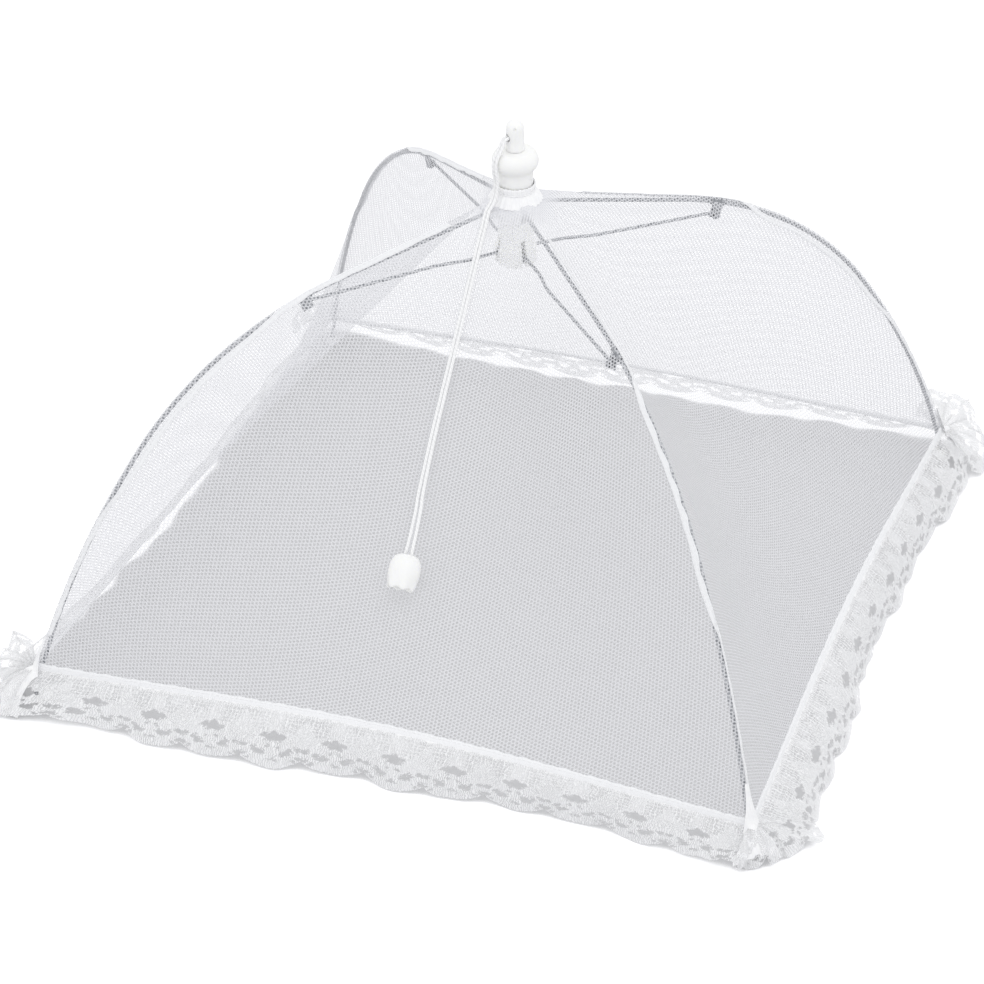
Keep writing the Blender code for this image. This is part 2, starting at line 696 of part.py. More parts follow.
def strut_pin():
    """The rivet in the strut's outer loop. It ends clear of the clip's tab, where the linkage is left open."""
    outer = STRUT_SIDE - STRUT_RADIUS - GAP
    head = outer - PIN_HEAD_HEIGHT
    profile = [
        (0, 0),
        (PIN_HEAD_RADIUS - PIN_HEAD_HEIGHT / 3, 0),
        (PIN_HEAD_RADIUS, -PIN_HEAD_HEIGHT / 3),
        (PIN_HEAD_RADIUS, -PIN_HEAD_HEIGHT),
        (PIN_RADIUS, -PIN_HEAD_HEIGHT),
        (PIN_RADIUS, head - STRUT_SIDE - STRUT_RADIUS),
        (0, head - STRUT_SIDE - STRUT_RADIUS),
    ]
    made = turned("strut_pin", profile, STEEL, SMALL_STEPS)
    made.data.transform(
        Matrix.Translation(in_plane(PIN_POINT, head)) @ Matrix.Rotation(math.radians(90), 4, "X")
    )
    return made


def slot_boxes(inner, foot, top, width):
    """Four boxes that cut radial slots on the diagonals."""
    made = []
    for angle in CORNERS.values():
        slot = box(f"slot_{angle}", (inner, -width / 2, foot), (2 * KNOB_RADIUS, width / 2, top))
        slot.data.transform(Matrix.Rotation(math.radians(angle), 4, "Z"))
        made.append(slot)
    return made


def ring_groove(name, radius, foot, top):
    """A ring of room for a ring wire, open below."""
    half = RING_WIRE_RADIUS + GAP
    return turned(
        name, [(radius + half, top), (radius + half, foot), (radius - half, foot), (radius - half, top)], STEEL
    )


def ring_wire(name, radius, height):
    """The wire ring that loops hang on."""
    line = [
        (radius + RING_WIRE_RADIUS * math.cos(angle), height + RING_WIRE_RADIUS * math.sin(angle))
        for angle in (-math.tau * k / RING_SIDES for k in range(RING_SIDES))
    ]
    return turned(name, line, STEEL)


def finial():
    """The capped tip, bored for the cord, with the hole where the cord comes out."""
    dome = FINIAL_RADIUS * FINIAL_DOME_SHARE
    rounding = [
        (FINIAL_RADIUS * math.sin(angle), FINIAL_TOP - dome + dome * math.cos(angle))
        for angle in (math.pi / 2 * share for share in shares(DOME_STEPS))
    ]
    spigot_foot = FINIAL_FOOT - FINIAL_SPIGOT_LENGTH
    profile = [
        *rounding,
        (FINIAL_RADIUS, FINIAL_FOOT),
        (FINIAL_SPIGOT_RADIUS, FINIAL_FOOT),
        (FINIAL_SPIGOT_RADIUS, spigot_foot),
        (0, spigot_foot),
    ]
    made = turned("finial", profile, PLASTIC)
    out = Vector((math.cos(CORD_HOLE_AZIMUTH), math.sin(CORD_HOLE_AZIMUTH), 0))
    middle = Vector((0, 0, CORD_HOLE_HEIGHT))
    gate_out = Vector((math.cos(GATE_AZIMUTH), math.sin(GATE_AZIMUTH), 0))
    gate = Vector((0, 0, GATE_HEIGHT)) + gate_out * (FINIAL_RADIUS - GATE_DEPTH)
    tools = [
        rod("bore", (0, 0, spigot_foot - CUT_OVERRUN), (0, 0, CORD_HOLE_HEIGHT), BORE_RADIUS, HOLE_STEPS),
        rod("cord_hole", middle, middle + out * 2 * FINIAL_RADIUS, CORD_HOLE_RADIUS, HOLE_STEPS),
        rod("gate", gate, gate + gate_out * FINIAL_RADIUS, GATE_RADIUS, KNOT_STEPS),
    ]
    return carve(made, tools)


def knob():
    """The round knob and the neck below it."""
    top = FINIAL_FOOT - GAP
    bulge = []
    for share in shares(BULGE_STEPS):
        angle = math.pi * share
        reach = max(math.cos(angle), 0) * (top - KNOB_MIDDLE) + min(math.cos(angle), 0) * KNOB_LOWER_LENGTH
        bulge.append((NECK_RADIUS + (KNOB_RADIUS - NECK_RADIUS) * math.sin(angle), KNOB_MIDDLE + reach))
    seat = FINIAL_SPIGOT_RADIUS + GAP
    seat_foot = FINIAL_FOOT - FINIAL_SPIGOT_LENGTH - GAP
    socket = CROWN_SPIGOT_RADIUS + GAP
    socket_top = NECK_FOOT + CROWN_SPIGOT_LENGTH + GAP
    shoulder = [(seat, top), (FINIAL_RADIUS + GAP, top)]
    profile = [
        *shoulder,
        *bulge[1:],
        (NECK_RADIUS, NECK_FOOT),
        (socket, NECK_FOOT),
        (socket, socket_top),
        (BORE_RADIUS, socket_top),
        (BORE_RADIUS, seat_foot),
        (seat, seat_foot),
    ]
    return turned("knob", profile, PLASTIC)


def crown():
    """The slotted crown that holds the ribs' ring, with its spigot up into the neck."""
    top = NECK_FOOT - GAP
    spigot_top = top + CROWN_SPIGOT_LENGTH
    profile = [
        (BORE_RADIUS, spigot_top),
        (CROWN_SPIGOT_RADIUS, spigot_top),
        (CROWN_SPIGOT_RADIUS, top),
        (CROWN_RADIUS, top),
        (CROWN_RADIUS, CROWN_FOOT),
        (BORE_RADIUS, CROWN_FOOT),
    ]
    made = turned("crown", profile, PLASTIC)
    reach = RIB_LOOP_RADIUS + RIB_RADIUS + GAP
    below = CROWN_FOOT - CUT_OVERRUN
    groove_top = CROWN_RING_HEIGHT + RING_WIRE_RADIUS + GAP
    slot_top = CROWN_RING_HEIGHT + reach
    slots = slot_boxes(CROWN_RING_RADIUS - reach, below, slot_top, 2 * RIB_RADIUS + 2 * GAP)
    return carve(made, [ring_groove("crown_groove", CROWN_RING_RADIUS, below, groove_top), *slots])


def runner():
    """The sleeve that slides below the crown, slotted for the struts."""
    profile = [
        (BORE_RADIUS, RUNNER_TOP),
        (RUNNER_TOP_RADIUS - GAP, RUNNER_TOP),
        (RUNNER_TOP_RADIUS, RUNNER_TOP - GAP),
        (RUNNER_WAIST_RADIUS, RUNNER_FLANGE_TOP),
        (RUNNER_FLANGE_RADIUS, RUNNER_FLANGE_TOP - GAP),
        (RUNNER_FLANGE_RADIUS, RUNNER_FLANGE_FOOT),
        (RUNNER_RECESS_RADIUS, RUNNER_FLANGE_FOOT),
        (RUNNER_RECESS_RADIUS, RECESS_TOP),
        (BORE_RADIUS, RECESS_TOP),
    ]
    made = turned("runner", profile, PLASTIC)
    below = RUNNER_FLANGE_FOOT - CUT_OVERRUN
    groove_top = RUNNER_RING_HEIGHT + RING_WIRE_RADIUS + GAP
    width = 2 * STRUT_RADIUS + 2 * GAP
    slots = slot_boxes(RUNNER_CORE_RADIUS, below, RUNNER_SLOT_TOP, width)
    return carve(made, [ring_groove("runner_groove", RUNNER_RING_RADIUS, below, groove_top), *slots])


def net_collar():
    """The band of gathered net round the crown, with its pleats."""
    inner = CROWN_RADIUS + GAP
    heights = [COLLAR_FOOT, COLLAR_FOOT + COLLAR_WALL / 2, NECK_FOOT - COLLAR_WALL / 2, NECK_FOOT]
    insets = [COLLAR_WALL / 2, 0, 0, COLLAR_WALL / 2]
    shape = bmesh.new()
    rings = []
    count = 2 * COLLAR_PLEAT_COUNT
    for height, inset in [*zip(heights, insets), (NECK_FOOT, None), (COLLAR_FOOT, None)]:
        ring = []
        for k in range(count):
            angle = math.tau * k / count
            radius = inner if inset is None else COLLAR_RADIUS - inset - COLLAR_PLEAT_DEPTH * (k % 2)
            ring.append(shape.verts.new((radius * math.cos(angle), radius * math.sin(angle), height)))
        rings.append(ring)
    for one, two in zip(rings, rings[1:] + rings[:1]):
        for k in range(count):
            shape.faces.new((one[k - 1], one[k], two[k], two[k - 1]))
    return object_from("net_collar", shape, NET)


def knot(name, centre, radius, lean):
    """A tied knot as a slightly flattened ball."""
    shape = bmesh.new()
    bmesh.ops.create_uvsphere(shape, u_segments=SMALL_STEPS, v_segments=KNOT_STEPS, radius=radius)
    bmesh.ops.scale(shape, vec=(1, 1, KNOT_FLATNESS_SHARE), verts=shape.verts)
    bmesh.ops.transform(shape, matrix=lean, verts=shape.verts)
    return place(object_from(name, shape, CORD), centre)


def knot_seat(radius, hole):
    """How far a knot's middle lies below the rim of the hole that it rests in."""
    return GAP + KNOT_FLATNESS_SHARE * math.sqrt(radius**2 - hole**2)


def bead(lean):
    """The bell-shaped bead, round above and petalled at its open mouth, about its middle."""
    half = BEAD_LENGTH / 2
    shape = bmesh.new()
    count = BEAD_PETAL_COUNT * BEAD_STEPS_PER_PETAL
    rings = []

    def ring(radius, height, petal):
        made = []
        for k in range(count):
            angle = math.tau * k / count
            wave = math.cos(BEAD_PETAL_COUNT * angle)
            reach = radius * (1 + BEAD_PETAL_SHARE * petal * wave)
            drop = BEAD_PETAL_DROP * petal * (1 - wave) / 2
            made.append(shape.verts.new((reach * math.cos(angle), reach * math.sin(angle), height + drop)))
        rings.append(made)

    for radius_share, height_share in BEAD_OUTLINE_SHARES:
        ring(BEAD_RADIUS * radius_share, half * height_share, max(-height_share, 0.0))
    ring(BEAD_MOUTH_RADIUS, -half, 1.0)
    ring(BEAD_MOUTH_RADIUS, BEAD_MOUTH_DEPTH - half, 0.0)
    ring(BEAD_HOLE_RADIUS, BEAD_MOUTH_DEPTH - half, 0.0)
    ring(BEAD_HOLE_RADIUS, half, 0.0)
    for one, two in zip(rings, rings[1:] + rings[:1]):
        for k in range(count):
            shape.faces.new((one[k - 1], one[k], two[k], two[k - 1]))
    bmesh.ops.transform(shape, matrix=lean, verts=shape.verts)
    return object_from("pull_bead", shape, PLASTIC)


def strand_points(side):
    """One strand of the pull cord: the route moved sideways, wider apart near the bead."""
    step = 6 * STRAND_RADIUS
    middle = smooth_route(CORD_ROUTE, step)
    made = []
    for k, point in enumerate(middle):
        from_end = (len(middle) - 1 - k) * step
        near = max(1 - from_end / STRAND_SPREAD, 0.0)
        spacing = STRAND_SPACING + (STRAND_SPACING_AT_BEAD - STRAND_SPACING) * near
        ahead = middle[min(k + 1, len(middle) - 1)] - middle[max(k - 1, 0)]
        beside = (Vector((point.x, point.y, 0)).normalized() + Vector((0, 0, 1))).cross(ahead).normalized()
        made.append(point + beside * side * spacing / 2)
    return made


def copy_of(made, name):
    """Another object of the same mesh."""
    other = bpy.data.objects.new(name, made.data)
    bpy.context.scene.collection.objects.link(other)
    return other


def build_hub():
    """The fixed pieces on the hub's axis."""
    finial()
    knob()
    crown()
    ring_wire("crown_ring", CROWN_RING_RADIUS, CROWN_RING_HEIGHT)
    net_collar()


def build_runner():
    """The runner and what slides with it, on an empty at the runner's ring."""
    slide = joint_empty("runner_slide", (0, 0, RUNNER_RING_HEIGHT))
    knot_height = RECESS_TOP - knot_seat(KNOT_RADIUS, BORE_RADIUS)
    pieces = [
        runner(),
        ring_wire("runner_ring", RUNNER_RING_RADIUS, RUNNER_RING_HEIGHT),
        knot("cord_knot", (0, 0, knot_height), KNOT_RADIUS, Matrix.Identity(4)),
    ]
    for piece in pieces:
        piece.parent = slide
        piece.location.z -= RUNNER_RING_HEIGHT
    return slide


def build_frame(slide):
    """Four ribs with their trim, and four struts, each on an empty at its joint."""
    rib_pivot = Vector((CROWN_RING_RADIUS, CROWN_RING_HEIGHT))
    rib_pieces = {"rib": rib_wire(), "foot_cap": foot_cap()}
    rib_pieces.update({"rib_clip": rib_clip(), "rib_casing": rib_casing()})
    strut_pieces = {"strut": strut_wire(), "strut_pin": strut_pin()}
    for pieces, pivot in ((rib_pieces, rib_pivot), (strut_pieces, RUNNER_PIVOT)):
        for piece in pieces.values():
            piece.data.transform(Matrix.Translation(-in_plane(pivot)))
    for corner, angle in CORNERS.items():
        turn = math.radians(angle)
        where = Matrix.Rotation(turn, 3, "Z")
        rib_joint = joint_empty(f"rib_hinge_{corner}", where @ in_plane(rib_pivot), turn)
        strut_place = where @ Vector((RUNNER_PIVOT.x, 0, 0))
        strut_joint = joint_empty(f"strut_hinge_{corner}", strut_place, turn, slide)
        for pieces, joint in ((rib_pieces, rib_joint), (strut_pieces, strut_joint)):
            for kind, piece in pieces.items():
                copy_of(piece, f"{kind}_{corner}").parent = joint
    for piece in [*rib_pieces.values(), *strut_pieces.values()]:
        bpy.data.objects.remove(piece, do_unlink=True)


def build_cover():
    """The net, its hem binding and the lace, one of each for every side."""
    for made in (front_net(), front_binding(), front_lace()):
        kind = made.name.removesuffix("_front")
        for side, angle in SIDES.items():
            piece = made if side == "front" else copy_of(made, f"{kind}_{side}")
            place(piece, turn=math.radians(angle))


def build_cord():
    """The pull cord's strands outside and inside the hub, and the bead with its knot."""
    for name, side in (("left", -1), ("right", 1)):
        cord_tube(f"pull_cord_{name}", strand_points(side), STRAND_RADIUS, CORD)
        out = Vector((math.sin(CORD_HOLE_AZIMUTH), -math.cos(CORD_HOLE_AZIMUTH), 0))
        out *= side * STRAND_SPACING / 2
        foot = RECESS_TOP - knot_seat(KNOT_RADIUS, BORE_RADIUS) + KNOT_FLATNESS_SHARE * KNOT_RADIUS + GAP
        ends = [out + Vector((0, 0, height)) for height in (foot, INNER_CORD_TOP)]
        inner = smooth_route(ends, 5 * STRAND_RADIUS)
        cord_tube(f"inner_cord_{name}", inner, STRAND_RADIUS, CORD)
    end, before = Vector(CORD_ROUTE[-1]), Vector(CORD_ROUTE[-2])
    along = (end - before).normalized()
    lean = (-along).to_track_quat("Z", "Y").to_matrix().to_4x4()
    middle = end + along * GAP
    place(bead(lean), middle)
    seat = BEAD_LENGTH / 2 - BEAD_MOUTH_DEPTH + knot_seat(BEAD_KNOT_RADIUS, BEAD_HOLE_RADIUS)
    knot("bead_knot", middle + along * seat, BEAD_KNOT_RADIUS, lean)


build_hub()
build_frame(build_runner())
build_cover()
build_cord()
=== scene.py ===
# %% [markdown]
# # A pop-up net food cover
# A food cover is a small square tent of net that keeps flies off a dish. It works like an umbrella: a cord pulls
# a sleeve up a short hub, four struts push four bent wire ribs apart, and the ribs stretch the net. The packed
# model gives the frame's pieces and the bodies that move. This lesson dresses it: net with real holes, lace with
# a worked motif, wire that looks drawn and galvanised, moulded plastic, tapes with their stitches, and a cord.

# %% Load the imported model
import math

import bmesh
import bpy
from mathutils import Matrix, Vector, noise


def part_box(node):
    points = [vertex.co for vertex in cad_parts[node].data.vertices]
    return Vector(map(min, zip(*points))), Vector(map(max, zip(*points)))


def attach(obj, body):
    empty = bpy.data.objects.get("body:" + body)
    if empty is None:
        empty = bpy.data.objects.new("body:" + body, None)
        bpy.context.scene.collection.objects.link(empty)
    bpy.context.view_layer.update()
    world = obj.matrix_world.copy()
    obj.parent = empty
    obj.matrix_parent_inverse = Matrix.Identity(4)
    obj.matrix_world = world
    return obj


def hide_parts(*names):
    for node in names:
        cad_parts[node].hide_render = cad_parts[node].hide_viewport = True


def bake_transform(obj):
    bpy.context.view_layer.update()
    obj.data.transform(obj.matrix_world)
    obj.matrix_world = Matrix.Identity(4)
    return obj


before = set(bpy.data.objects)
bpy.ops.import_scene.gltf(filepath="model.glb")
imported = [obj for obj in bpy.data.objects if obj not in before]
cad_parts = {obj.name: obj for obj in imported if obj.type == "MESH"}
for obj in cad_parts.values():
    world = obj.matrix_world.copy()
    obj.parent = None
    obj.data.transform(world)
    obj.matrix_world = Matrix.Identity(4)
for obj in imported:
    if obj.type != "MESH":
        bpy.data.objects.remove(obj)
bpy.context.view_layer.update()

# %% [markdown]
# ## The camera
# The photograph was taken from a little to the right of the front, looking down by about a third of a right
# angle, from nearly two metres away with a long lens. The angles, the distance and the focal length come from a
# fit of the frame's corners, ribs and struts to their places in the picture, so they are written as numbers. A
# camera looks along its own -Z, so its axes are built from the direction away from what it looks at.

# %% Place the camera
IMAGE_SIDE = 984
AZIMUTH = math.radians(20.277)
ELEVATION = math.radians(33.560)
ROLL = math.radians(-0.353)
DISTANCE = 1.8408
FOCAL_PIXELS = 3222.7
CENTRE_PIXEL = (516.4, 502.9)
AIM = Vector((-0.0005, -0.0002, 0.0477))


def camera_axes():
    """The camera's right, up and backward directions."""
    back = Vector((math.sin(AZIMUTH), -math.cos(AZIMUTH), 0)) * math.cos(ELEVATION)
    back += Vector((0, 0, math.sin(ELEVATION)))
    right = Vector((0, 0, 1)).cross(back).normalized()
    up = back.cross(right)
    turned_right = right * math.cos(ROLL) + up * math.sin(ROLL)
    return turned_right, back.cross(turned_right), back


right, up, back = camera_axes()
lens = bpy.data.cameras.new("camera")
lens.sensor_width = 36
lens.lens = FOCAL_PIXELS / IMAGE_SIDE * lens.sensor_width
lens.shift_x = (IMAGE_SIDE / 2 - CENTRE_PIXEL[0]) / IMAGE_SIDE
lens.shift_y = (CENTRE_PIXEL[1] - IMAGE_SIDE / 2) / IMAGE_SIDE
camera = bpy.data.objects.new("camera", lens)
turn = Matrix((right, up, back)).transposed().to_4x4()
camera.matrix_world = Matrix.Translation(AIM + back * DISTANCE) @ turn
bpy.context.scene.collection.objects.link(camera)
bpy.context.scene.camera = camera
print("lens", round(lens.lens, 1), "mm, camera at", [round(x, 3) for x in camera.location])

# %% [markdown]
# ## Formulas in a material
# Net, lace, weave and twist are all rules: this place has thread, that place has a hole. In Blender a rule is
# built from Math nodes. Writing each node by hand hides the rule, so this small class lets a pattern be written
# as a formula, and it makes one Math node for each sign in it.


# %% A number in a node tree, and groups to hold patterns
class Field:
    """A number that changes over a surface. Its sums become Math nodes."""

    def __init__(self, tree, source):
        self.tree = tree
        self.source = source

    def math(self, operation, *others):
        """One Math node that works on this number."""
        node = self.tree.nodes.new("ShaderNodeMath")
        node.operation = operation
        for socket, value in zip(node.inputs, (self, *others)):
            if isinstance(value, Field):
                self.tree.links.new(value.source, socket)
            else:
                socket.default_value = value
        return Field(self.tree, node.outputs[0])

    def __add__(self, other):
        return self.math("ADD", other)

    def __sub__(self, other):
        return self.math("SUBTRACT", other)

    def __mul__(self, other):
        return self.math("MULTIPLY", other)

    def __truediv__(self, other):
        return self.math("DIVIDE", other)

    def away(self):
        """The number without its sign."""
        return self.math("ABSOLUTE")

    def low(self, other):
        """The smaller of two."""
        return self.math("MINIMUM", other)

    def high(self, other):
        """The larger of two."""
        return self.math("MAXIMUM", other)

    def turn(self, count=1.0):
        """The sine of this many whole turns."""
        return (self * (math.tau * count)).math("SINE")

    def ramp(self, start, end):
        """0 before the start, 1 after the end, and smooth between them."""
        node = self.tree.nodes.new("ShaderNodeMapRange")
        node.interpolation_type = "SMOOTHSTEP"
        for label, value in (("From Min", start), ("From Max", end)):
            if isinstance(value, Field):
                self.tree.links.new(value.source, node.inputs[label])
            else:
                node.inputs[label].default_value = value
        self.tree.links.new(self.source, node.inputs["Value"])
        return Field(self.tree, node.outputs["Result"])

    def fade(self, start, end):
        """1 before the start, 0 after the end, and smooth between them."""
        return self.ramp(start, end).math("MULTIPLY_ADD", -1.0, 1.0)


def new_group(name, numbers, outputs):
    """A shader node group with a Place vector, named numbers as inputs, and values as outputs."""
    tree = bpy.data.node_groups.new(name, "ShaderNodeTree")
    tree.interface.new_socket("Place", in_out="INPUT", socket_type="NodeSocketVector")
    for label, value in numbers.items():
        socket = tree.interface.new_socket(label, in_out="INPUT", socket_type="NodeSocketFloat")
        socket.default_value = value
    for label in outputs:
        tree.interface.new_socket(label, in_out="OUTPUT", socket_type="NodeSocketFloat")
    start = tree.nodes.new("NodeGroupInput")
    split = tree.nodes.new("ShaderNodeSeparateXYZ")
    tree.links.new(start.outputs["Place"], split.inputs[0])
    place = [Field(tree, split.outputs[axis]) for axis in "XYZ"]
    given = {label: Field(tree, start.outputs[label]) for label in numbers}
    return tree, place, given


def start_of(tree):
    """A tree's group input node."""
    return next(node for node in tree.nodes if node.type == "GROUP_INPUT")


def put_out(tree, **values):
    """Links fields to a group's outputs."""
    end = tree.nodes.new("NodeGroupOutput")
    for label, value in values.items():
        tree.links.new(value.source, end.inputs[label])
    print("group", tree.name, "with", len(tree.nodes), "nodes")


# %% [markdown]
# ## The net's cells
# The net is a knitted hexagonal mesh: round-cornered holes in rows, each row shifted by half a cell. The rows run
# down the cloth, from hub to hem. Such a pattern is two lattices of hole centres laid over each other. For every
# point the nearer centre counts, and the distance to it is measured with a hexagon's sides, so that the threads
# between holes keep one width.
# The net could be modelled thread by thread, but one gore has some ten thousand cells, so the holes are cut by
# the material's alpha on a smooth sheet, and light, shadow and see-through follow them just the same.


# %% Group: hexagonal net
def net_cells():
    """Thread is 1 on the net's threads and 0 in its holes. Height is the thread's round back."""
    tree, (along_hem, down, _), given = new_group(
        "net_cells", {"Cell Width": 0.0019, "Row Height": 0.0020, "Thread Share": 0.38}, ["Thread", "Height"]
    )
    width, row = given["Cell Width"], given["Row Height"]
    nearest = []
    for shift in (0.0, 0.5):
        x = (down / width - shift).math("WRAP", 0.5, -0.5) * width
        y = (along_hem / (row * 2.0) - shift).math("WRAP", 0.5, -0.5) * row * 2.0
        nearest.append((x.away(), y.away()))
    (ax, ay), (bx, by) = nearest
    second = (ax * ax + ay * ay).math("GREATER_THAN", bx * bx + by * by)
    x = ax + (bx - ax) * second
    y = ay + (by - ay) * second
    side = x / (width * 0.5)
    reach = (width * width * 0.25 + row * row) * 0.5
    slant = (x * width * 0.5 + y * row) / reach
    hexagon = side.math("SMOOTH_MAX", slant, 0.25)
    inner = given["Thread Share"].math("MULTIPLY_ADD", -1.0, 1.0)
    thread = hexagon.ramp(inner - 0.20, inner + 0.16)
    put_out(tree, Thread=thread, Height=hexagon.ramp(inner - 0.1, 1.05))
    return tree


NET_CELLS = net_cells()

# %% [markdown]
# ## Weave, twist and grain
# Three more effects are shared. A tape and a thread are woven or twisted, which shows as small rises in the
# surface. Moulded plastic, drawn wire and fabric all have some unevenness of tone, which noise gives. Each is a
# group with its scale as an input, so that each material sets its own.


# %% Groups: weave, twist and grain
def plain_weave():
    """Height of threads that go over and under each other."""
    tree, (across, along, _), given = new_group("plain_weave", {"Thread Pitch": 0.0006}, ["Height"])
    warp = (across / given["Thread Pitch"]).turn(0.5)
    weft = (along / given["Thread Pitch"]).turn(0.5)
    put_out(tree, Height=(warp * weft) * 0.5 + 0.5)
    return tree


def yarn_twist():
    """Height of strands laid round a cord. Place is the turn round the cord and the metres along it."""
    tree, (around, along, _), given = new_group("yarn_twist", {"Lay Length": 0.006, "Strands": 3.0}, ["Height"])
    strand = (around + along / given["Lay Length"]) * given["Strands"]
    put_out(tree, Height=strand.turn(0.5).away())
    return tree


def tone_grain():
    """Slow and fine unevenness from 0 to 1, from noise at two scales."""
    tree, _, given = new_group("tone_grain", {"Scale": 200.0, "Fine Scale": 2500.0}, ["Tone", "Fine"])
    start = start_of(tree)
    found = []
    for label in ("Scale", "Fine Scale"):
        cloud = tree.nodes.new("ShaderNodeTexNoise")
        cloud.inputs["Detail"].default_value = 3.0
        tree.links.new(start.outputs["Place"], cloud.inputs["Vector"])
        tree.links.new(given[label].source, cloud.inputs["Scale"])
        found.append(Field(tree, cloud.outputs["Fac"]).ramp(0.3, 0.7))
    put_out(tree, Tone=found[0], Fine=found[1])
    return tree


PLAIN_WEAVE = plain_weave()
YARN_TWIST = yarn_twist()
TONE_GRAIN = tone_grain()

# %% [markdown]
# ## The lace motif
# The flounce is machine-made lace with one motif repeated along it. From the top edge down: a leaf that spreads
# below each notch, open ground beside it, a wide ragged hole in the middle of each scallop, smaller holes under it
# and towards the notches, and a dense border that follows the scallop. Noise moves every edge, because the threads
# of real lace never lie as drawn. The place is (repeats along, share of the depth). Folding it about the scallop's
# middle halves the work, because the motif is symmetric. Holes are ellipses: 0 at their middle and 1 on their rim,
# and the smallest of all of them says how near a hole is. Ellipses that overlap make one hole of a freer shape.


# %% Group: lace motif
# Each hole of half a motif: its place off the scallop's middle, its depth, its half width and its half height.
LACE_HOLES = [
    (0.0, 0.47, 0.15, 0.060),
    (0.0, 0.41, 0.070, 0.045),
    (0.130, 0.465, 0.085, 0.045),
    (0.065, 0.520, 0.070, 0.040),
    (0.195, 0.755, 0.110, 0.052),
    (0.280, 0.700, 0.060, 0.035),
    (0.440, 0.670, 0.070, 0.040),
    (0.500, 0.825, 0.120, 0.042),
    (0.365, 0.880, 0.050, 0.024),
    (0.030, 0.850, 0.060, 0.022),
    (0.080, 0.640, 0.040, 0.024),
]


def noise_field(tree, start, scale):
    """Smooth noise from 0 to 1 over the group's place."""
    cloud = tree.nodes.new("ShaderNodeTexNoise")
    cloud.inputs["Scale"].default_value = scale
    cloud.inputs["Detail"].default_value = 2.0
    tree.links.new(start.outputs["Place"], cloud.inputs["Vector"])
    return Field(tree, cloud.outputs["Fac"])


def lace_motif():
    """Thread is 1 where there is lace and 0 in its holes, Height its relief, Tone its patchy colour and painted
    shade.
    """
    tree, (repeats, down, _), given = new_group(
        "lace_motif", {"Ground Cell": 0.062, "Openness": 1.0}, ["Thread", "Height", "Tone"]
    )
    from_middle = (repeats.math("FRACT") - 0.5).away()
    from_notch = from_middle.math("MULTIPLY_ADD", -1.0, 0.5)

    def ellipse(centre, depth, wide, tall):
        x = (from_middle - centre) / wide
        y = (down - depth) / tall
        return (x * x + y * y).math("SQRT")

    start = start_of(tree)
    wander = noise_field(tree, start, 9.0)
    ragged = noise_field(tree, start, 34.0)
    patchy = noise_field(tree, start, 2.3)
    down = down + (wander - 0.5) * 0.12 + (ragged - 0.5) * 0.13
    from_middle = (from_middle + (wander - 0.5) * 0.12 + (ragged - 0.5) * 0.14).away()
    holes = ellipse(*LACE_HOLES[0])
    for hole in LACE_HOLES[1:]:
        holes = holes.low(ellipse(*hole))
    open_hole = holes.fade(0.72, 1.12) * 0.95
    leaf = (from_notch - (down - 0.10) * 0.62).ramp(-0.03, 0.01).high(down.ramp(0.56, 0.62))
    bump = (from_middle - 0.10).ramp(-0.04, 0.06)
    ground = leaf * (bump * 0.6 + 0.4) * down.ramp(0.04, 0.08) * down.fade(0.36, 0.50)
    cell = given["Ground Cell"]
    mesh = ((repeats + wander * 0.10) / cell).turn(0.5) * (down / cell * 0.95).turn(0.5)
    ground_hole = mesh.away().ramp(0.10, 0.70) * ground * (patchy.ramp(0.35, 0.62) * 0.35 + 0.38)
    slant = from_notch * 22.0
    veins = ((down * 13.0 + slant + wander * 2.2).turn() * 0.5) + 0.5
    fringe = ((repeats * 27.0 + wander * 3.0).turn() * 0.5) + 0.5
    in_leaf = leaf.fade(0.2, 0.8)
    relief = fringe + (veins - fringe) * in_leaf
    gaps = relief.fade(0.02, 0.45) * (patchy.ramp(0.35, 0.65) * 0.35 + 0.16)
    opened = open_hole.high(ground_hole).high(gaps) * given["Openness"]
    rim = (holes - 1.25).away().fade(0.05, 0.25) * 0.5
    outline = (leaf - 0.5).away().fade(0.25, 0.5) * down.fade(0.5, 0.6) * 0.5
    selvage = down.fade(0.02, 0.05)
    solid = rim.high(outline).high(selvage)
    height = (relief * 0.6 + ragged * 0.3).high(solid)
    thread = (opened * solid.fade(0.3, 0.9)).math("MULTIPLY_ADD", -1.0, 1.0)
    # Tone: uneven patches and painted shade, greyer in the relief's dips, lightest on rims, outlines and top edge
    put_out(tree, Thread=thread, Height=height, Tone=(relief * 0.5 + patchy * 0.5).high(solid))
    return tree


LACE_MOTIF = lace_motif()

# %% [markdown]
# ## Materials
# Every material is a Principled shader that takes its pattern from the groups. White fabric is never quite
# white: threads are a little bluish, and the plastic is the warmest white of all. The low places of each weave,
# twist, net thread and lace relief are painted greyer, as painted shade. The wire is zinc-coated steel, grey
# with a mottled, half-dull shine.


# %% Helpers for materials
def new_material(name, colour, roughness, metallic=0.0):
    """A material with one Principled shader."""
    made = bpy.data.materials.new(name)
    made.use_nodes = True
    shader = made.node_tree.nodes["Principled BSDF"]
    shader.inputs["Base Color"].default_value = (*colour, 1.0)
    shader.inputs["Roughness"].default_value = roughness
    shader.inputs["Metallic"].default_value = metallic
    return made, made.node_tree, shader


def use_group(tree, group, place, **values):
    """Places a pattern group in a material, on its own UV map or on Object coordinates."""
    node = tree.nodes.new("ShaderNodeGroup")
    node.node_tree = group
    where = tree.nodes.new("ShaderNodeTexCoord")
    tree.links.new(where.outputs[place], node.inputs["Place"])
    for label, value in values.items():
        node.inputs[label.replace("_", " ")].default_value = value
    return node


def add_colour(tree, shader, share, dark, light):
    """Colours the shader between two colours, by a share."""
    node = tree.nodes.new("ShaderNodeMix")
    node.data_type = "RGBA"
    node.inputs["A"].default_value = (*dark, 1.0)
    node.inputs["B"].default_value = (*light, 1.0)
    tree.links.new(share, node.inputs["Factor"])
    tree.links.new(node.outputs["Result"], shader.inputs["Base Color"])


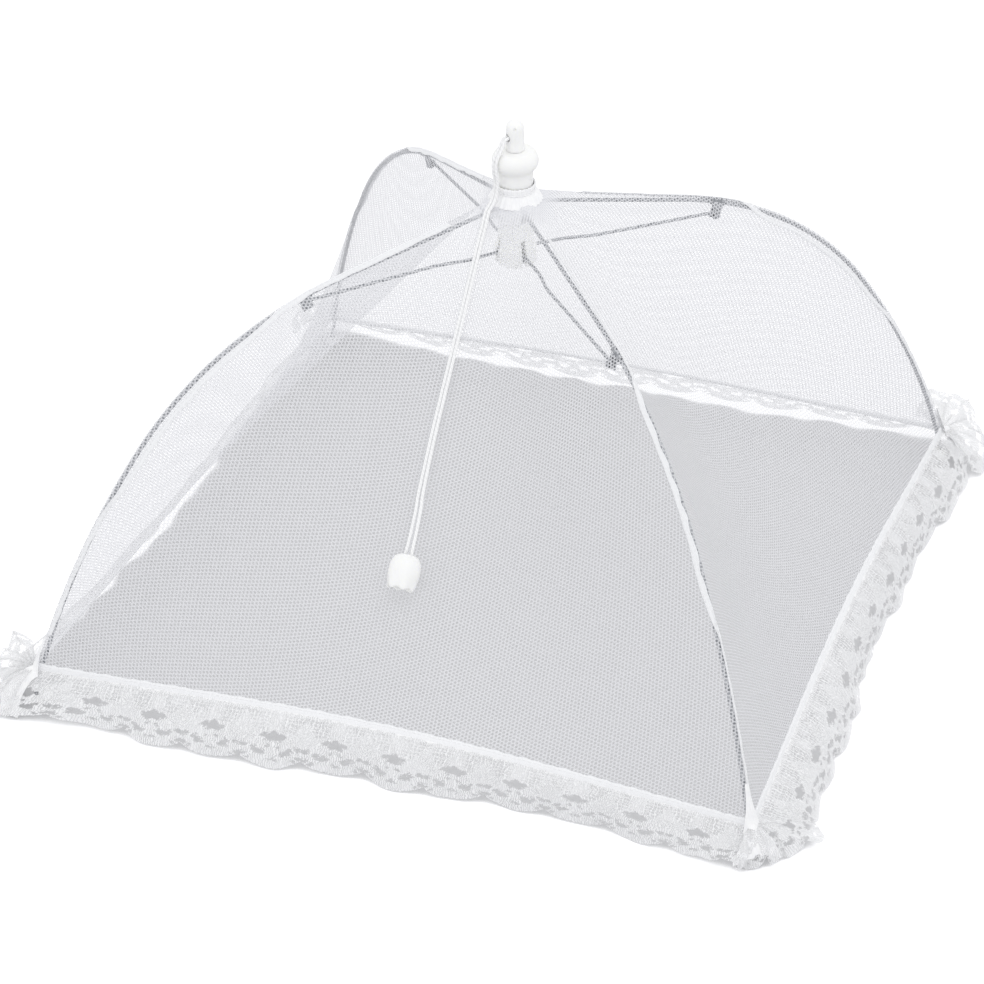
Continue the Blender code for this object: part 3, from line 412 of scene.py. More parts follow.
def add_bump(tree, shader, height, strength, distance):
    """Links a height to the shader's normal."""
    node = tree.nodes.new("ShaderNodeBump")
    node.inputs["Strength"].default_value = strength
    node.inputs["Distance"].default_value = distance
    tree.links.new(height, node.inputs["Height"])
    tree.links.new(node.outputs["Normal"], shader.inputs["Normal"])


def add_glow(made, shader, strength):
    """Adds a white glow of varying strength, too weak to be worth sampling as a lamp."""
    made.cycles.emission_sampling = "NONE"
    shader.inputs["Emission Color"].default_value = (1.0, 1.0, 1.0, 1.0)
    made.node_tree.links.new(strength.source, shader.inputs["Emission Strength"])


def camera_rays(tree):
    """1 for rays that come from the camera, and 0 for all others."""
    return Field(tree, tree.nodes.new("ShaderNodeLightPath").outputs["Is Camera Ray"])


# %% Net and lace
NET_COVER = 0.66
GATHER_COVER = 0.94
GATHER_PLEATS_PER_METRE = 420.0
LACE_COVER = 0.93
LACE_INNER_PAINTED_LIGHT = 0.13


def net_material():
    """White hexagonal net, open but where it is gathered at the hub. Light passes it more easily than sight does."""
    made, tree, shader = new_material("white_net", (0.9, 0.9, 0.94), 0.8)
    cells = use_group(tree, NET_CELLS, "UV")
    where = tree.nodes.new("ShaderNodeTexCoord")
    split = tree.nodes.new("ShaderNodeSeparateXYZ")
    tree.links.new(where.outputs["UV"], split.inputs[0])
    down = Field(tree, split.outputs["Y"])
    across = Field(tree, split.outputs["X"])
    pleats = (across * GATHER_PLEATS_PER_METRE).turn() * 0.003
    gathered = (down + pleats).fade(0.004, 0.022)
    thread = Field(tree, cells.outputs["Thread"])
    seen = camera_rays(tree) * 0.8 + 0.2
    shown = (thread * NET_COVER).high(gathered * GATHER_COVER) * seen
    tree.links.new(shown.source, shader.inputs["Alpha"])
    # painted shade: each thread is greyer towards its edges and lighter on its round back
    add_colour(tree, shader, cells.outputs["Height"], (0.78, 0.785, 0.82), (0.88, 0.88, 0.90))
    add_bump(tree, shader, cells.outputs["Height"], 0.4, 0.0002)
    return made


def lace_material():
    """White lace with a worked motif and holes. Its inner side glows with painted light, for light through the cloth.
    """
    made, tree, shader = new_material("white_lace", (0.92, 0.92, 0.94), 0.8)
    motif = use_group(tree, LACE_MOTIF, "UV")
    thread = Field(tree, motif.outputs["Thread"])
    seen = camera_rays(tree) * 0.5 + 0.5
    tree.links.new((thread * LACE_COVER * seen).source, shader.inputs["Alpha"])
    inner = tree.nodes.new("ShaderNodeNewGeometry")
    # painted light: a weak emission on the lace's inner side, standing in for light that passes through it
    add_glow(made, shader, Field(tree, inner.outputs["Backfacing"]) * LACE_INNER_PAINTED_LIGHT)
    # painted shade: the lace is coloured by Tone, so the dips of its relief are greyer
    add_colour(tree, shader, motif.outputs["Tone"], (0.90, 0.905, 0.92), (0.98, 0.98, 0.985))
    add_bump(tree, shader, motif.outputs["Height"], 0.7, 0.0006)
    return made


def gathered_material():
    """Net drawn together in many layers, so that hardly any hole is left open."""
    made, tree, shader = new_material("gathered_net", (0.92, 0.92, 0.95), 0.85)
    cells = use_group(tree, NET_CELLS, "UV", Cell_Width=0.0016, Row_Height=0.0011, Thread_Share=0.5)
    grain = use_group(tree, TONE_GRAIN, "Object", Scale=260.0, Fine_Scale=1800.0)
    add_colour(tree, shader, grain.outputs["Tone"], (0.95, 0.95, 0.965), (0.99, 0.99, 0.99))
    add_bump(tree, shader, cells.outputs["Height"], 0.25, 0.0003)
    return made


WHITE_NET = net_material()
WHITE_LACE = lace_material()
GATHERED_NET = gathered_material()
print("fabric materials:", WHITE_NET.name, WHITE_LACE.name, GATHERED_NET.name)


# %% Tape, thread, cord, plastic and wire
def tape_material():
    """Woven white tape."""
    made, tree, shader = new_material("seam_tape", (0.94, 0.94, 0.96), 0.8)
    weave = use_group(tree, PLAIN_WEAVE, "UV", Thread_Pitch=0.0005)
    # painted shade: the weave is greyer where its threads dip under
    add_colour(tree, shader, weave.outputs["Height"], (0.90, 0.91, 0.93), (0.98, 0.98, 0.99))
    add_bump(tree, shader, weave.outputs["Height"], 0.6, 0.0002)
    return made


def thread_material():
    """White sewing thread, a little glossier than the tape."""
    made, tree, shader = new_material("sewing_thread", (0.95, 0.95, 0.95), 0.5)
    weave = use_group(tree, PLAIN_WEAVE, "Object", Thread_Pitch=0.0003)
    # painted shade: greyer where the weave's threads dip under
    add_colour(tree, shader, weave.outputs["Height"], (0.82, 0.82, 0.84), (0.97, 0.97, 0.97))
    return made


def cord_material():
    """Twisted white cord."""
    made, tree, shader = new_material("white_cord", (0.96, 0.96, 0.97), 0.65)
    twist = use_group(tree, YARN_TWIST, "UV", Lay_Length=0.0075, Strands=3.0)
    # painted shade: greyer in the grooves between strands, lighter on their crowns
    add_colour(tree, shader, twist.outputs["Height"], (0.94, 0.94, 0.95), (0.99, 0.99, 0.99))
    add_bump(tree, shader, twist.outputs["Height"], 0.5, 0.0004)
    shader.inputs["Sheen Weight"].default_value = 0.15
    return made


def plastic_material():
    """Milky moulded plastic with a soft gloss."""
    made, tree, shader = new_material("white_plastic", (0.94, 0.94, 0.92), 0.34)
    grain = use_group(tree, TONE_GRAIN, "Object", Scale=90.0, Fine_Scale=1500.0)
    add_colour(tree, shader, grain.outputs["Tone"], (0.965, 0.965, 0.95), (0.99, 0.99, 0.975))
    tone = Field(tree, grain.outputs["Fine"])
    tree.links.new((tone * 0.10 + 0.30).source, shader.inputs["Roughness"])
    add_bump(tree, shader, grain.outputs["Fine"], 0.08, 0.0001)
    shader.inputs["Subsurface Weight"].default_value = 0.25
    shader.inputs["Subsurface Radius"].default_value = (0.004, 0.004, 0.0035)
    shader.inputs["Subsurface Scale"].default_value = 1.0
    return made


def wire_material():
    """Zinc-coated steel wire, mottled and half dull."""
    made, tree, shader = new_material("galvanised_wire", (0.45, 0.46, 0.48), 0.42, 0.9)
    grain = use_group(tree, TONE_GRAIN, "Object", Scale=500.0, Fine_Scale=4000.0)
    add_colour(tree, shader, grain.outputs["Tone"], (0.26, 0.27, 0.29), (0.50, 0.51, 0.53))
    tone = Field(tree, grain.outputs["Fine"])
    tree.links.new((tone * 0.25 + 0.32).source, shader.inputs["Roughness"])
    add_bump(tree, shader, grain.outputs["Fine"], 0.15, 0.0001)
    return made


SEAM_TAPE = tape_material()
SEWING_THREAD = thread_material()
WHITE_CORD = cord_material()
WHITE_PLASTIC = plastic_material()
GALVANISED_WIRE = wire_material()
print("materials:", len(bpy.data.materials))

# %% [markdown]
# ## Helpers for meshes
# Most pieces here are grids: rows of points, joined into faces, with a UV map in real metres so that a net's
# cells keep their size however the sheet is bent. A tube is a grid too, closed round itself.


# %% Grids and tubes
def object_from(name, shape, material, smooth_angle=math.radians(45)):
    """Turns a bmesh into a named object, shaded smooth up to an angle."""
    mesh = bpy.data.meshes.new(name)
    shape.to_mesh(mesh)
    shape.free()
    mesh.materials.append(material)
    mesh.shade_smooth()
    mesh.set_sharp_from_angle(angle=smooth_angle)
    made = bpy.data.objects.new(name, mesh)
    bpy.context.scene.collection.objects.link(made)
    return made


def grid_mesh(name, rows, uv_rows, material, wrap=False, smooth_angle=math.radians(80)):
    """A sheet from rows of points with their UVs. With wrap, each row closes on itself and has one more UV."""
    shape = bmesh.new()
    layer = shape.loops.layers.uv.new("UVMap")
    made_rows = [[shape.verts.new(point) for point in row] for row in rows]
    columns = len(rows[0]) if wrap else len(rows[0]) - 1
    for i in range(len(rows) - 1):
        for j in range(columns):
            k = (j + 1) % len(rows[0])
            corners = (made_rows[i][j], made_rows[i + 1][j], made_rows[i + 1][k], made_rows[i][k])
            uvs = (uv_rows[i][j], uv_rows[i + 1][j], uv_rows[i + 1][j + 1], uv_rows[i][j + 1])
            face = shape.faces.new(corners)
            for loop, uv in zip(face.loops, uvs):
                loop[layer].uv = uv
    if wrap:
        shape.faces.new(made_rows[0])
        shape.faces.new(list(reversed(made_rows[-1])))
    return object_from(name, shape, material, smooth_angle)


def join_rings(shape, rings):
    """Joins rings of vertices, and the last to the first, into one closed surface that faces outwards."""
    for one, two in zip(rings, rings[1:] + rings[:1]):
        for k in range(len(one)):
            shape.faces.new((one[k - 1], two[k - 1], two[k], one[k]))
    bmesh.ops.recalc_face_normals(shape, faces=shape.faces)


def lengths_along(points):
    """The distance from the first point to each point, along them."""
    reach = [0.0]
    for one, two in zip(points, points[1:]):
        reach.append(reach[-1] + (two - one).length)
    return reach


def tube_mesh(name, points, radius, material, sides=14):
    """A round tube along points, closed at both ends, with UVs of the turn round it and the metres along it."""
    along = lengths_along(points)
    rows, uv_rows = [], []
    across = None
    for i, point in enumerate(points):
        ahead = (points[min(i + 1, len(points) - 1)] - points[max(i - 1, 0)]).normalized()
        across = ahead.orthogonal().normalized() if across is None else across
        across = (across - ahead * across.dot(ahead)).normalized()
        other = ahead.cross(across)
        turns = [math.tau * k / sides for k in range(sides)]
        rows.append([point + (across * math.cos(a) + other * math.sin(a)) * radius for a in turns])
        uv_rows.append([(k / sides, along[i]) for k in range(sides + 1)])
    return grid_mesh(name, rows, uv_rows, material, wrap=True, smooth_angle=math.radians(60))


def smooth_route(points, step):
    """Points a step apart on a smooth curve through the route's points."""
    route = [Vector(point) for point in points]
    ends = [route[0] * 2 - route[1], *route, route[-1] * 2 - route[-2]]
    dense = []
    for before, start, end, after in zip(ends, ends[1:], ends[2:], ends[3:]):
        pieces = max(int((end - start).length / step) * 4, 4)
        for k in range(pieces):
            t = k / pieces
            first = start * 2 + (end - before) * t
            second = (before * 2 - start * 5 + end * 4 - after) * t**2
            third = (start * 3 - before - end * 3 + after) * t**3
            dense.append((first + second + third) / 2)
    dense.append(route[-1])
    reach = lengths_along(dense)
    count = round(reach[-1] / step)
    made, at = [], 0
    for k in range(count + 1):
        wanted = reach[-1] * k / count
        while at < len(reach) - 2 and reach[at + 1] < wanted:
            at += 1
        share = (wanted - reach[at]) / (reach[at + 1] - reach[at])
        made.append(dense[at].lerp(dense[at + 1], share))
    return made


def shares(count):
    """Even steps from 0 to 1."""
    return [k / count for k in range(count + 1)]


# %% [markdown]
# ## The pull cord
# Two strands of thin cord come out of the tip's side hole, fall over the knob and the neck, hang over the hub's
# gathers and lie on the front net down to the bead. Each is one free length of about 25 cm. The route is the one
# that the model's solids follow, point by point, and each strand runs beside it, a little further apart where
# they enter the bead. A strand is a tube with UVs, because its twist has to follow it.

# %% Cord strands
STRAND_RADIUS = 0.0009
STRAND_SPACING = 0.0021
STRAND_SPACING_AT_BEAD = 0.0035
STRAND_SPREAD = 0.060
CORD_ROUTE = [
    (-0.0009, -0.0009, 0.2815),
    (-0.0033, -0.0035, 0.2815),
    (-0.0046, -0.0050, 0.2807),
    (-0.0053, -0.0063, 0.2781),
    (-0.0058, -0.0079, 0.2757),
    (-0.0066, -0.0104, 0.2733),
    (-0.0072, -0.0124, 0.2695),
    (-0.0070, -0.0127, 0.2650),
    (-0.0064, -0.0121, 0.2590),
    (-0.0066, -0.0126, 0.2535),
    (-0.0071, -0.0140, 0.2498),
    (-0.0080, -0.0160, 0.2467),
    (-0.0092, -0.0188, 0.2437),
    (-0.0092, -0.0236, 0.2386),
    (-0.0095, -0.0354, 0.2247),
    (-0.0100, -0.0584, 0.1975),
    (-0.0105, -0.0812, 0.1707),
    (-0.0108, -0.0991, 0.1498),
    (-0.0102, -0.1192, 0.1275),
    (-0.0092, -0.1263, 0.1204),
    (-0.0083, -0.1344, 0.1139),
    (-0.0077, -0.1412, 0.1086),
    (-0.0074, -0.1461, 0.1049),
    (-0.0074, -0.1507, 0.0999),
    (-0.0074, -0.1526, 0.0978),
]


def strand_points(side, step):
    """One strand of the pull cord: the route moved sideways, wider apart near the bead."""
    middle = smooth_route(CORD_ROUTE, step)
    made = []
    for k, point in enumerate(middle):
        from_end = (len(middle) - 1 - k) * step
        near = max(1 - from_end / STRAND_SPREAD, 0.0)
        spacing = STRAND_SPACING + (STRAND_SPACING_AT_BEAD - STRAND_SPACING) * near
        ahead = middle[min(k + 1, len(middle) - 1)] - middle[max(k - 1, 0)]
        beside = (Vector((point.x, point.y, 0)).normalized() + Vector((0, 0, 1))).cross(ahead).normalized()
        made.append(point + beside * side * spacing / 2)
    return made


strands = {}
for strand, side in (("left", -1), ("right", 1)):
    path = strand_points(side, 2 * STRAND_RADIUS)
    cord = tube_mesh(f"cord_strand_{strand}", path, STRAND_RADIUS, WHITE_CORD)
    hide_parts(f"pull_cord_{strand}")
    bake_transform(cord)
    strands[strand] = (cord, path)
    print(cord.name, "is", round(1000 * lengths_along(path)[-1]), "mm long")

# %% [markdown]
# ## Inside the hub
# The same two strands go on down the bore to a knot under the sleeve, which is how a pull on the bead lifts the
# sleeve. They are hidden, but a part that is opened in other views needs them. Knots are made as what they are:
# a strand that follows a three-lobed knot's curve.


# %% Inner strands and knots
def knot_mesh(name, centre, axis, size):
    """A strand tied in a three-lobed knot round an axis."""
    turn = Vector(axis).normalized().to_track_quat("Z", "Y").to_matrix()
    points = []
    for share in shares(72):
        a = math.tau * share
        flat = Vector((math.sin(a) + 2 * math.sin(2 * a), math.cos(a) - 2 * math.cos(2 * a), -math.sin(3 * a)))
        points.append(Vector(centre) + turn @ (flat * (size - STRAND_RADIUS) / 3))
    return tube_mesh(name, points, STRAND_RADIUS, WHITE_CORD, sides=10)


def middle_of(node):
    """The middle of a node's box."""
    low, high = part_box(node)
    return (low + high) / 2


for strand in strands:
    low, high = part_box(f"inner_cord_{strand}")
    centre = (low + high) / 2
    points = [Vector((centre.x, centre.y, low.z + (high.z - low.z) * share)) for share in shares(40)]
    inner = tube_mesh(f"cord_inside_{strand}", points, STRAND_RADIUS, WHITE_CORD, sides=10)
    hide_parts(f"inner_cord_{strand}")
    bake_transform(inner)
CORD_END = Vector(CORD_ROUTE[-1])
CORD_AHEAD = (CORD_END - Vector(CORD_ROUTE[-2])).normalized()
knots = {}
for node, axis, body in (("cord_knot", (0, 0, 1), "runner"), ("bead_knot", -CORD_AHEAD, "bead")):
    low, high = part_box(node)
    made = knot_mesh(f"tied_{node}", middle_of(node), axis, (high.x - low.x) / 2)
    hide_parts(node)
    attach(made, body)
    knots[node] = made
print("knots:", ", ".join(knots))

# %% [markdown]
# ## The bead
# The bead is a small moulded bell with a rounded crown and a mouth of six blunt petals. It is a turned shape
# whose outline is given as shares of its radius and height. Turning it point by point, in place of a Screw
# modifier, lets the petals ripple the lower rings.

# %% Bell bead
BEAD_RADIUS = 0.0085
BEAD_LENGTH = 0.0190
BEAD_HOLE_RADIUS = 0.0030
BEAD_MOUTH_RADIUS = 0.0056
BEAD_MOUTH_DEPTH = 0.0085
BEAD_PETALS = 6
BEAD_OUTLINE = [
    (0.36, 1.0, 0.0),
    (0.46, 0.995, 0.0),
    (0.58, 0.955, 0.0),
    (0.71, 0.875, 0.0),
    (0.83, 0.755, 0.0),
    (0.92, 0.60, 0.0),
    (0.975, 0.41, 0.0),
    (1.0, 0.18, 0.0),
    (1.0, -0.05, 0.0),
    (0.985, -0.28, 0.1),
    (0.95, -0.52, 0.3),
    (0.905, -0.74, 0.6),
    (0.87, -0.90, 0.9),
    (0.84, -0.97, 1.0),
    (0.79, -1.0, 1.0),
    (0.72, -0.98, 1.0),
]


def bead_mesh(centre, lean):
    """The bell bead about its middle, turned to lie along the cord."""
    half = BEAD_LENGTH / 2
    inside = [
        (BEAD_MOUTH_RADIUS / BEAD_RADIUS, -0.90, 0.8),
        (BEAD_MOUTH_RADIUS / BEAD_RADIUS, BEAD_MOUTH_DEPTH / half - 1.1, 0.0),
        (BEAD_MOUTH_RADIUS / BEAD_RADIUS * 0.9, BEAD_MOUTH_DEPTH / half - 1, 0.0),
        (BEAD_HOLE_RADIUS / BEAD_RADIUS, BEAD_MOUTH_DEPTH / half - 1, 0.0),
        (BEAD_HOLE_RADIUS / BEAD_RADIUS, 0.96, 0.0),
    ]
    shape = bmesh.new()
    count = 16 * BEAD_PETALS
    rings = []
    for radius, height, petal in [*BEAD_OUTLINE, *inside]:
        ring = []
        for k in range(count):
            angle = math.tau * k / count
            wave = math.cos(BEAD_PETALS * angle)
            reach = BEAD_RADIUS * radius * (1 + 0.035 * petal * wave)
            drop = half * 0.13 * petal * (1 - max(wave, -0.7)) / 2
            ring.append(shape.verts.new((reach * math.cos(angle), reach * math.sin(angle), half * height + drop)))
        rings.append(ring)
    bmesh.ops.transform(shape, matrix=Matrix.Translation(centre) @ lean, verts=shape.verts)
    join_rings(shape, rings)
    return object_from("bell_bead", shape, WHITE_PLASTIC)


bead = bead_mesh(CORD_END + CORD_AHEAD * 0.0003, (-CORD_AHEAD).to_track_quat("Z", "Y").to_matrix().to_4x4())
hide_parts("pull_bead")
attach(bead, "bead")
for strand, (cord, path) in strands.items():
    on_it = [bead, knots["bead_knot"]] if strand == "left" else []
print("bead of", len(bead.data.polygons), "faces")

# %% [markdown]
# ## The rib's line
# Everything else hangs on the ribs. A rib starts at a loop on the crown's wire ring, runs out nearly level, bends
# over an arc, and goes down in a long, nearly straight leg to the corner. It lies in the vertical plane of a
# diagonal, so its line is worked out in two numbers: the distance from the axis, and the height.

# %% Rib line
RIB_RADIUS = 0.0011
STRUT_RADIUS = 0.0009
RIB_RUN = 0.0975
RIB_SLOPE = math.radians(13.0)
RIB_BEND_RADIUS = 0.197
RIB_BEND = math.radians(41.8)
RING_WIRE_RADIUS = 0.0006
CROWN_RING = Vector((0.0075, 0.2395))
RUNNER_RING = Vector((0.0086, 0.2120))
LOOP_ROOM = 0.0003
HALF_SIDE = 0.200
HEM_CORNER_HEIGHT = 0.020
RIB_FOOT_DEPTH = 0.0014
MODEL_RIDGE = 0.0037
CORNERS = {"front_right": -45, "back_right": 45, "back_left": 135, "front_left": 225}


def ahead_of(slope):
    """The way that a rib runs where it slopes down by this angle."""
    return Vector((math.cos(slope), -math.sin(slope)))


def outside_of(slope):
    """The outer side of a rib where it slopes down by this angle."""
    return Vector((math.sin(slope), math.cos(slope)))


RIB_LOOP = RING_WIRE_RADIUS + LOOP_ROOM + RIB_RADIUS
STRUT_LOOP = RING_WIRE_RADIUS + LOOP_ROOM + STRUT_RADIUS
RIB_START = CROWN_RING + outside_of(RIB_SLOPE) * RIB_LOOP
BEND_CENTRE = RIB_START + ahead_of(RIB_SLOPE) * RIB_RUN - outside_of(RIB_SLOPE) * RIB_BEND_RADIUS
LEG_SLOPE = RIB_SLOPE + RIB_BEND
LEG_START = BEND_CENTRE + outside_of(LEG_SLOPE) * RIB_BEND_RADIUS
LEG_CHORD = Vector((HALF_SIDE * math.sqrt(2) - MODEL_RIDGE, HEM_CORNER_HEIGHT)) - LEG_START
LEG_TURN = 2 * math.atan2(-LEG_CHORD.dot(outside_of(LEG_SLOPE)), LEG_CHORD.dot(ahead_of(LEG_SLOPE)))
LEG_RADIUS = LEG_CHORD.length_squared / (-2 * LEG_CHORD.dot(outside_of(LEG_SLOPE)))
LEG_CENTRE = LEG_START - outside_of(LEG_SLOPE) * LEG_RADIUS
BEND_LENGTH = RIB_BEND_RADIUS * RIB_BEND
LEG_LENGTH = LEG_RADIUS * LEG_TURN
RIB_AT_HEM = RIB_RUN + BEND_LENGTH + LEG_LENGTH
FOOT_SLOPE = LEG_SLOPE + LEG_TURN
FOOT_LENGTH = (HEM_CORNER_HEIGHT - RIB_FOOT_DEPTH) / math.sin(FOOT_SLOPE)


def rib_at(distance):
    """Where the rib's middle line is at a distance from its start, and its slope there."""
    if distance <= RIB_RUN:
        return RIB_START + ahead_of(RIB_SLOPE) * distance, RIB_SLOPE
    if distance <= RIB_RUN + BEND_LENGTH:
        slope = RIB_SLOPE + (distance - RIB_RUN) / RIB_BEND_RADIUS
        return BEND_CENTRE + outside_of(slope) * RIB_BEND_RADIUS, slope
    slope = LEG_SLOPE + LEG_TURN * min((distance - RIB_RUN - BEND_LENGTH) / LEG_LENGTH, 1.0)
    past_hem = max(distance - RIB_AT_HEM, 0.0)
    return LEG_CENTRE + outside_of(slope) * LEG_RADIUS + ahead_of(slope) * past_hem, slope


def in_plane(point, side=0.0):
    """A point of the rib's plane, moved sideways, in space."""
    return Vector((point.x, side, point.y))


RIB_BOW = {"front_right": 0.0, "back_right": 0.001, "back_left": 0.0, "front_left": 0.0065}
BOW_START = 0.130


def bowed(distance, bow):
    """How far a rib that is bowed out by this much at its foot stands outside the even line."""
    share = max(distance - BOW_START, 0.0) / (RIB_AT_HEM - BOW_START)
    return bow * min(share, 1.0) ** 1.3


print("a rib is", round(1000 * (RIB_AT_HEM + FOOT_LENGTH)), "mm long and its foot slopes at", end=" ")
print(round(math.degrees(FOOT_SLOPE), 1), "degrees")

# %% [markdown]
# ## Wires as Geometry Nodes
# Ribs and struts are bent wire: a round section that follows a path. That is the plainest job for Geometry Nodes.
# The tree takes a path made of edges, turns it into a curve and sweeps a circle along it, with the radius, the
# number of sides and the material as its inputs. One tree then makes all eight wires. The result is baked into a
# plain mesh before it is told which body it rides on.


# %% Geometry Nodes: a wire along a path
def new_geometry_tree(name, inputs):
    """An empty Geometry Nodes tree with named inputs, and its group input node."""
    tree = bpy.data.node_groups.new(name, "GeometryNodeTree")
    tree.interface.new_socket("Geometry", in_out="INPUT", socket_type="NodeSocketGeometry")
    for label, (kind, value) in inputs.items():
        socket = tree.interface.new_socket(label, in_out="INPUT", socket_type=kind)
        if value is not None:
            socket.default_value = value
    tree.interface.new_socket("Geometry", in_out="OUTPUT", socket_type="NodeSocketGeometry")
    return tree, tree.nodes.new("NodeGroupInput")


def finish_tree(tree, start, geometry):
    """Ends a tree in Realize Instances, smooth shading and Set Material."""
    realize = tree.nodes.new("GeometryNodeRealizeInstances")
    smooth = tree.nodes.new("GeometryNodeSetShadeSmooth")
    paint = tree.nodes.new("GeometryNodeSetMaterial")
    end = tree.nodes.new("NodeGroupOutput")
    tree.links.new(geometry, realize.inputs[0])
    tree.links.new(realize.outputs[0], smooth.inputs["Geometry"])
    tree.links.new(smooth.outputs[0], paint.inputs["Geometry"])
    tree.links.new(start.outputs["Material"], paint.inputs["Material"])
    tree.links.new(paint.outputs[0], end.inputs[0])


def wire_tree():
    """Sweeps a circle along a path of edges."""
    tree, start = new_geometry_tree(
        "bent_wire",
        {
            "Radius": ("NodeSocketFloat", 0.001),
            "Sides": ("NodeSocketInt", 12),
            "Material": ("NodeSocketMaterial", None),
        },
    )
    curve = tree.nodes.new("GeometryNodeMeshToCurve")
    circle = tree.nodes.new("GeometryNodeCurvePrimitiveCircle")
    sweep = tree.nodes.new("GeometryNodeCurveToMesh")
    sweep.inputs["Fill Caps"].default_value = True
    tree.links.new(start.outputs["Geometry"], curve.inputs["Mesh"])
    tree.links.new(start.outputs["Sides"], circle.inputs["Resolution"])
    tree.links.new(start.outputs["Radius"], circle.inputs["Radius"])
    tree.links.new(curve.outputs[0], sweep.inputs["Curve"])
    tree.links.new(circle.outputs[0], sweep.inputs["Profile Curve"])
    finish_tree(tree, start, sweep.outputs[0])
    return tree


def grown(name, points, tree, **values):
    """Runs a Geometry Nodes tree on a path, or on several, and bakes the result into a plain mesh."""
    paths = points if isinstance(points[0], list) else [points]
    vertices = [tuple(point) for path in paths for point in path]
    edges, first = [], 0
    for path in paths:
        edges += [(first + k, first + k + 1) for k in range(len(path) - 1)]
        first += len(path)
    mesh = bpy.data.meshes.new(name)
    mesh.from_pydata(vertices, edges, [])
    made = bpy.data.objects.new(name, mesh)
    bpy.context.scene.collection.objects.link(made)
    modifier = made.modifiers.new(tree.name, "NODES")
    modifier.node_group = tree
    for item in tree.interface.items_tree:
        if item.in_out == "INPUT" and item.name in values:
            modifier[item.identifier] = values[item.name]
    bpy.context.view_layer.update()
    result = bpy.data.meshes.new_from_object(made.evaluated_get(bpy.context.evaluated_depsgraph_get()))
    made.modifiers.clear()
    made.data = result
    result.name = name
    return made


BENT_WIRE = wire_tree()
print("tree", BENT_WIRE.name, "with", len(BENT_WIRE.nodes), "nodes")

# %% Ribs
LOOP_ANGLE = math.radians(235)


def loop_points(centre, start_angle, radius, way, steps=20):
    """Points of a wire's end loop round a pin, from its free end to where it leaves along the wire."""
    angles = [start_angle + way * LOOP_ANGLE * (1 - k / steps) for k in range(steps)]
    return [centre + Vector((math.cos(a), math.sin(a))) * radius for a in angles]


def rib_path(bow):
    """One rib's middle line, from its loop round the crown ring to its foot."""
    line = loop_points(CROWN_RING, math.pi / 2 - RIB_SLOPE, RIB_LOOP, 1)
    stops = [0.0, RIB_RUN / 4, RIB_RUN / 2, 3 * RIB_RUN / 4]
    stops += [RIB_RUN + (RIB_AT_HEM - RIB_RUN) * share for share in shares(48)]
    stops.append(RIB_AT_HEM + FOOT_LENGTH)
    for stop in stops:
        point, slope = rib_at(stop)
        line.append(point + outside_of(slope) * bowed(stop, bow))
    return [in_plane(point) for point in line]


def spin(degrees):
    """A turn about the hub's axis."""
    return Matrix.Rotation(math.radians(degrees), 3, "Z")


def way_at(degrees):
    """The level way that points away from the hub's axis at this angle."""
    return Vector((math.cos(math.radians(degrees)), math.sin(math.radians(degrees)), 0))


for corner, angle in CORNERS.items():
    path = [spin(angle) @ point for point in rib_path(RIB_BOW[corner])]
    made = grown(f"rib_wire_{corner}", path, BENT_WIRE, Radius=RIB_RADIUS, Sides=14, Material=GALVANISED_WIRE)
    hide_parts(f"rib_{corner}")
    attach(made, f"rib_{corner}")

# %% Struts
CLIP_ALONG_RIB = 0.1190
CLIP_DROP = 0.0066
CLIP_WALL = 0.0004
JOG_START = 0.018
JOG_LENGTH = 0.022
CLIP_AT, CLIP_SLOPE = rib_at(CLIP_ALONG_RIB)
PIN_AT = CLIP_AT - outside_of(CLIP_SLOPE) * CLIP_DROP
STRUT_SIDE = -(RIB_RADIUS + LOOP_ROOM + CLIP_WALL + LOOP_ROOM + STRUT_RADIUS)


def strut_path():
    """One strut's middle line, from its loop round the runner ring, past a small jog, to its loop on the rivet."""
    reach = PIN_AT - RUNNER_RING
    lean = math.atan2(reach.y, reach.x)
    lift = Vector((-math.sin(lean), math.cos(lean))) * STRUT_LOOP
    line = [in_plane(point) for point in loop_points(RUNNER_RING, math.pi / 2 + lean, STRUT_LOOP, 1)]
    line.append(in_plane(RUNNER_RING + lift))
    for share in shares(12):
        distance = JOG_START + JOG_LENGTH * share
        side = STRUT_SIDE * share * share * (3 - 2 * share)
        line.append(in_plane(RUNNER_RING + lift + reach.normalized() * distance, side))
    line.append(in_plane(PIN_AT + lift, STRUT_SIDE))
    end = loop_points(PIN_AT, math.pi / 2 + lean, STRUT_LOOP, -1)
    return line + [in_plane(point, STRUT_SIDE) for point in reversed(end)]


for corner, angle in CORNERS.items():
    path = [spin(angle) @ point for point in strut_path()]
    made = grown(f"strut_wire_{corner}", path, BENT_WIRE, Radius=STRUT_RADIUS, Sides=12, Material=GALVANISED_WIRE)
    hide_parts(f"strut_{corner}")
    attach(made, f"strut_{corner}")
print("strut wires of", len(made.data.polygons), "faces")
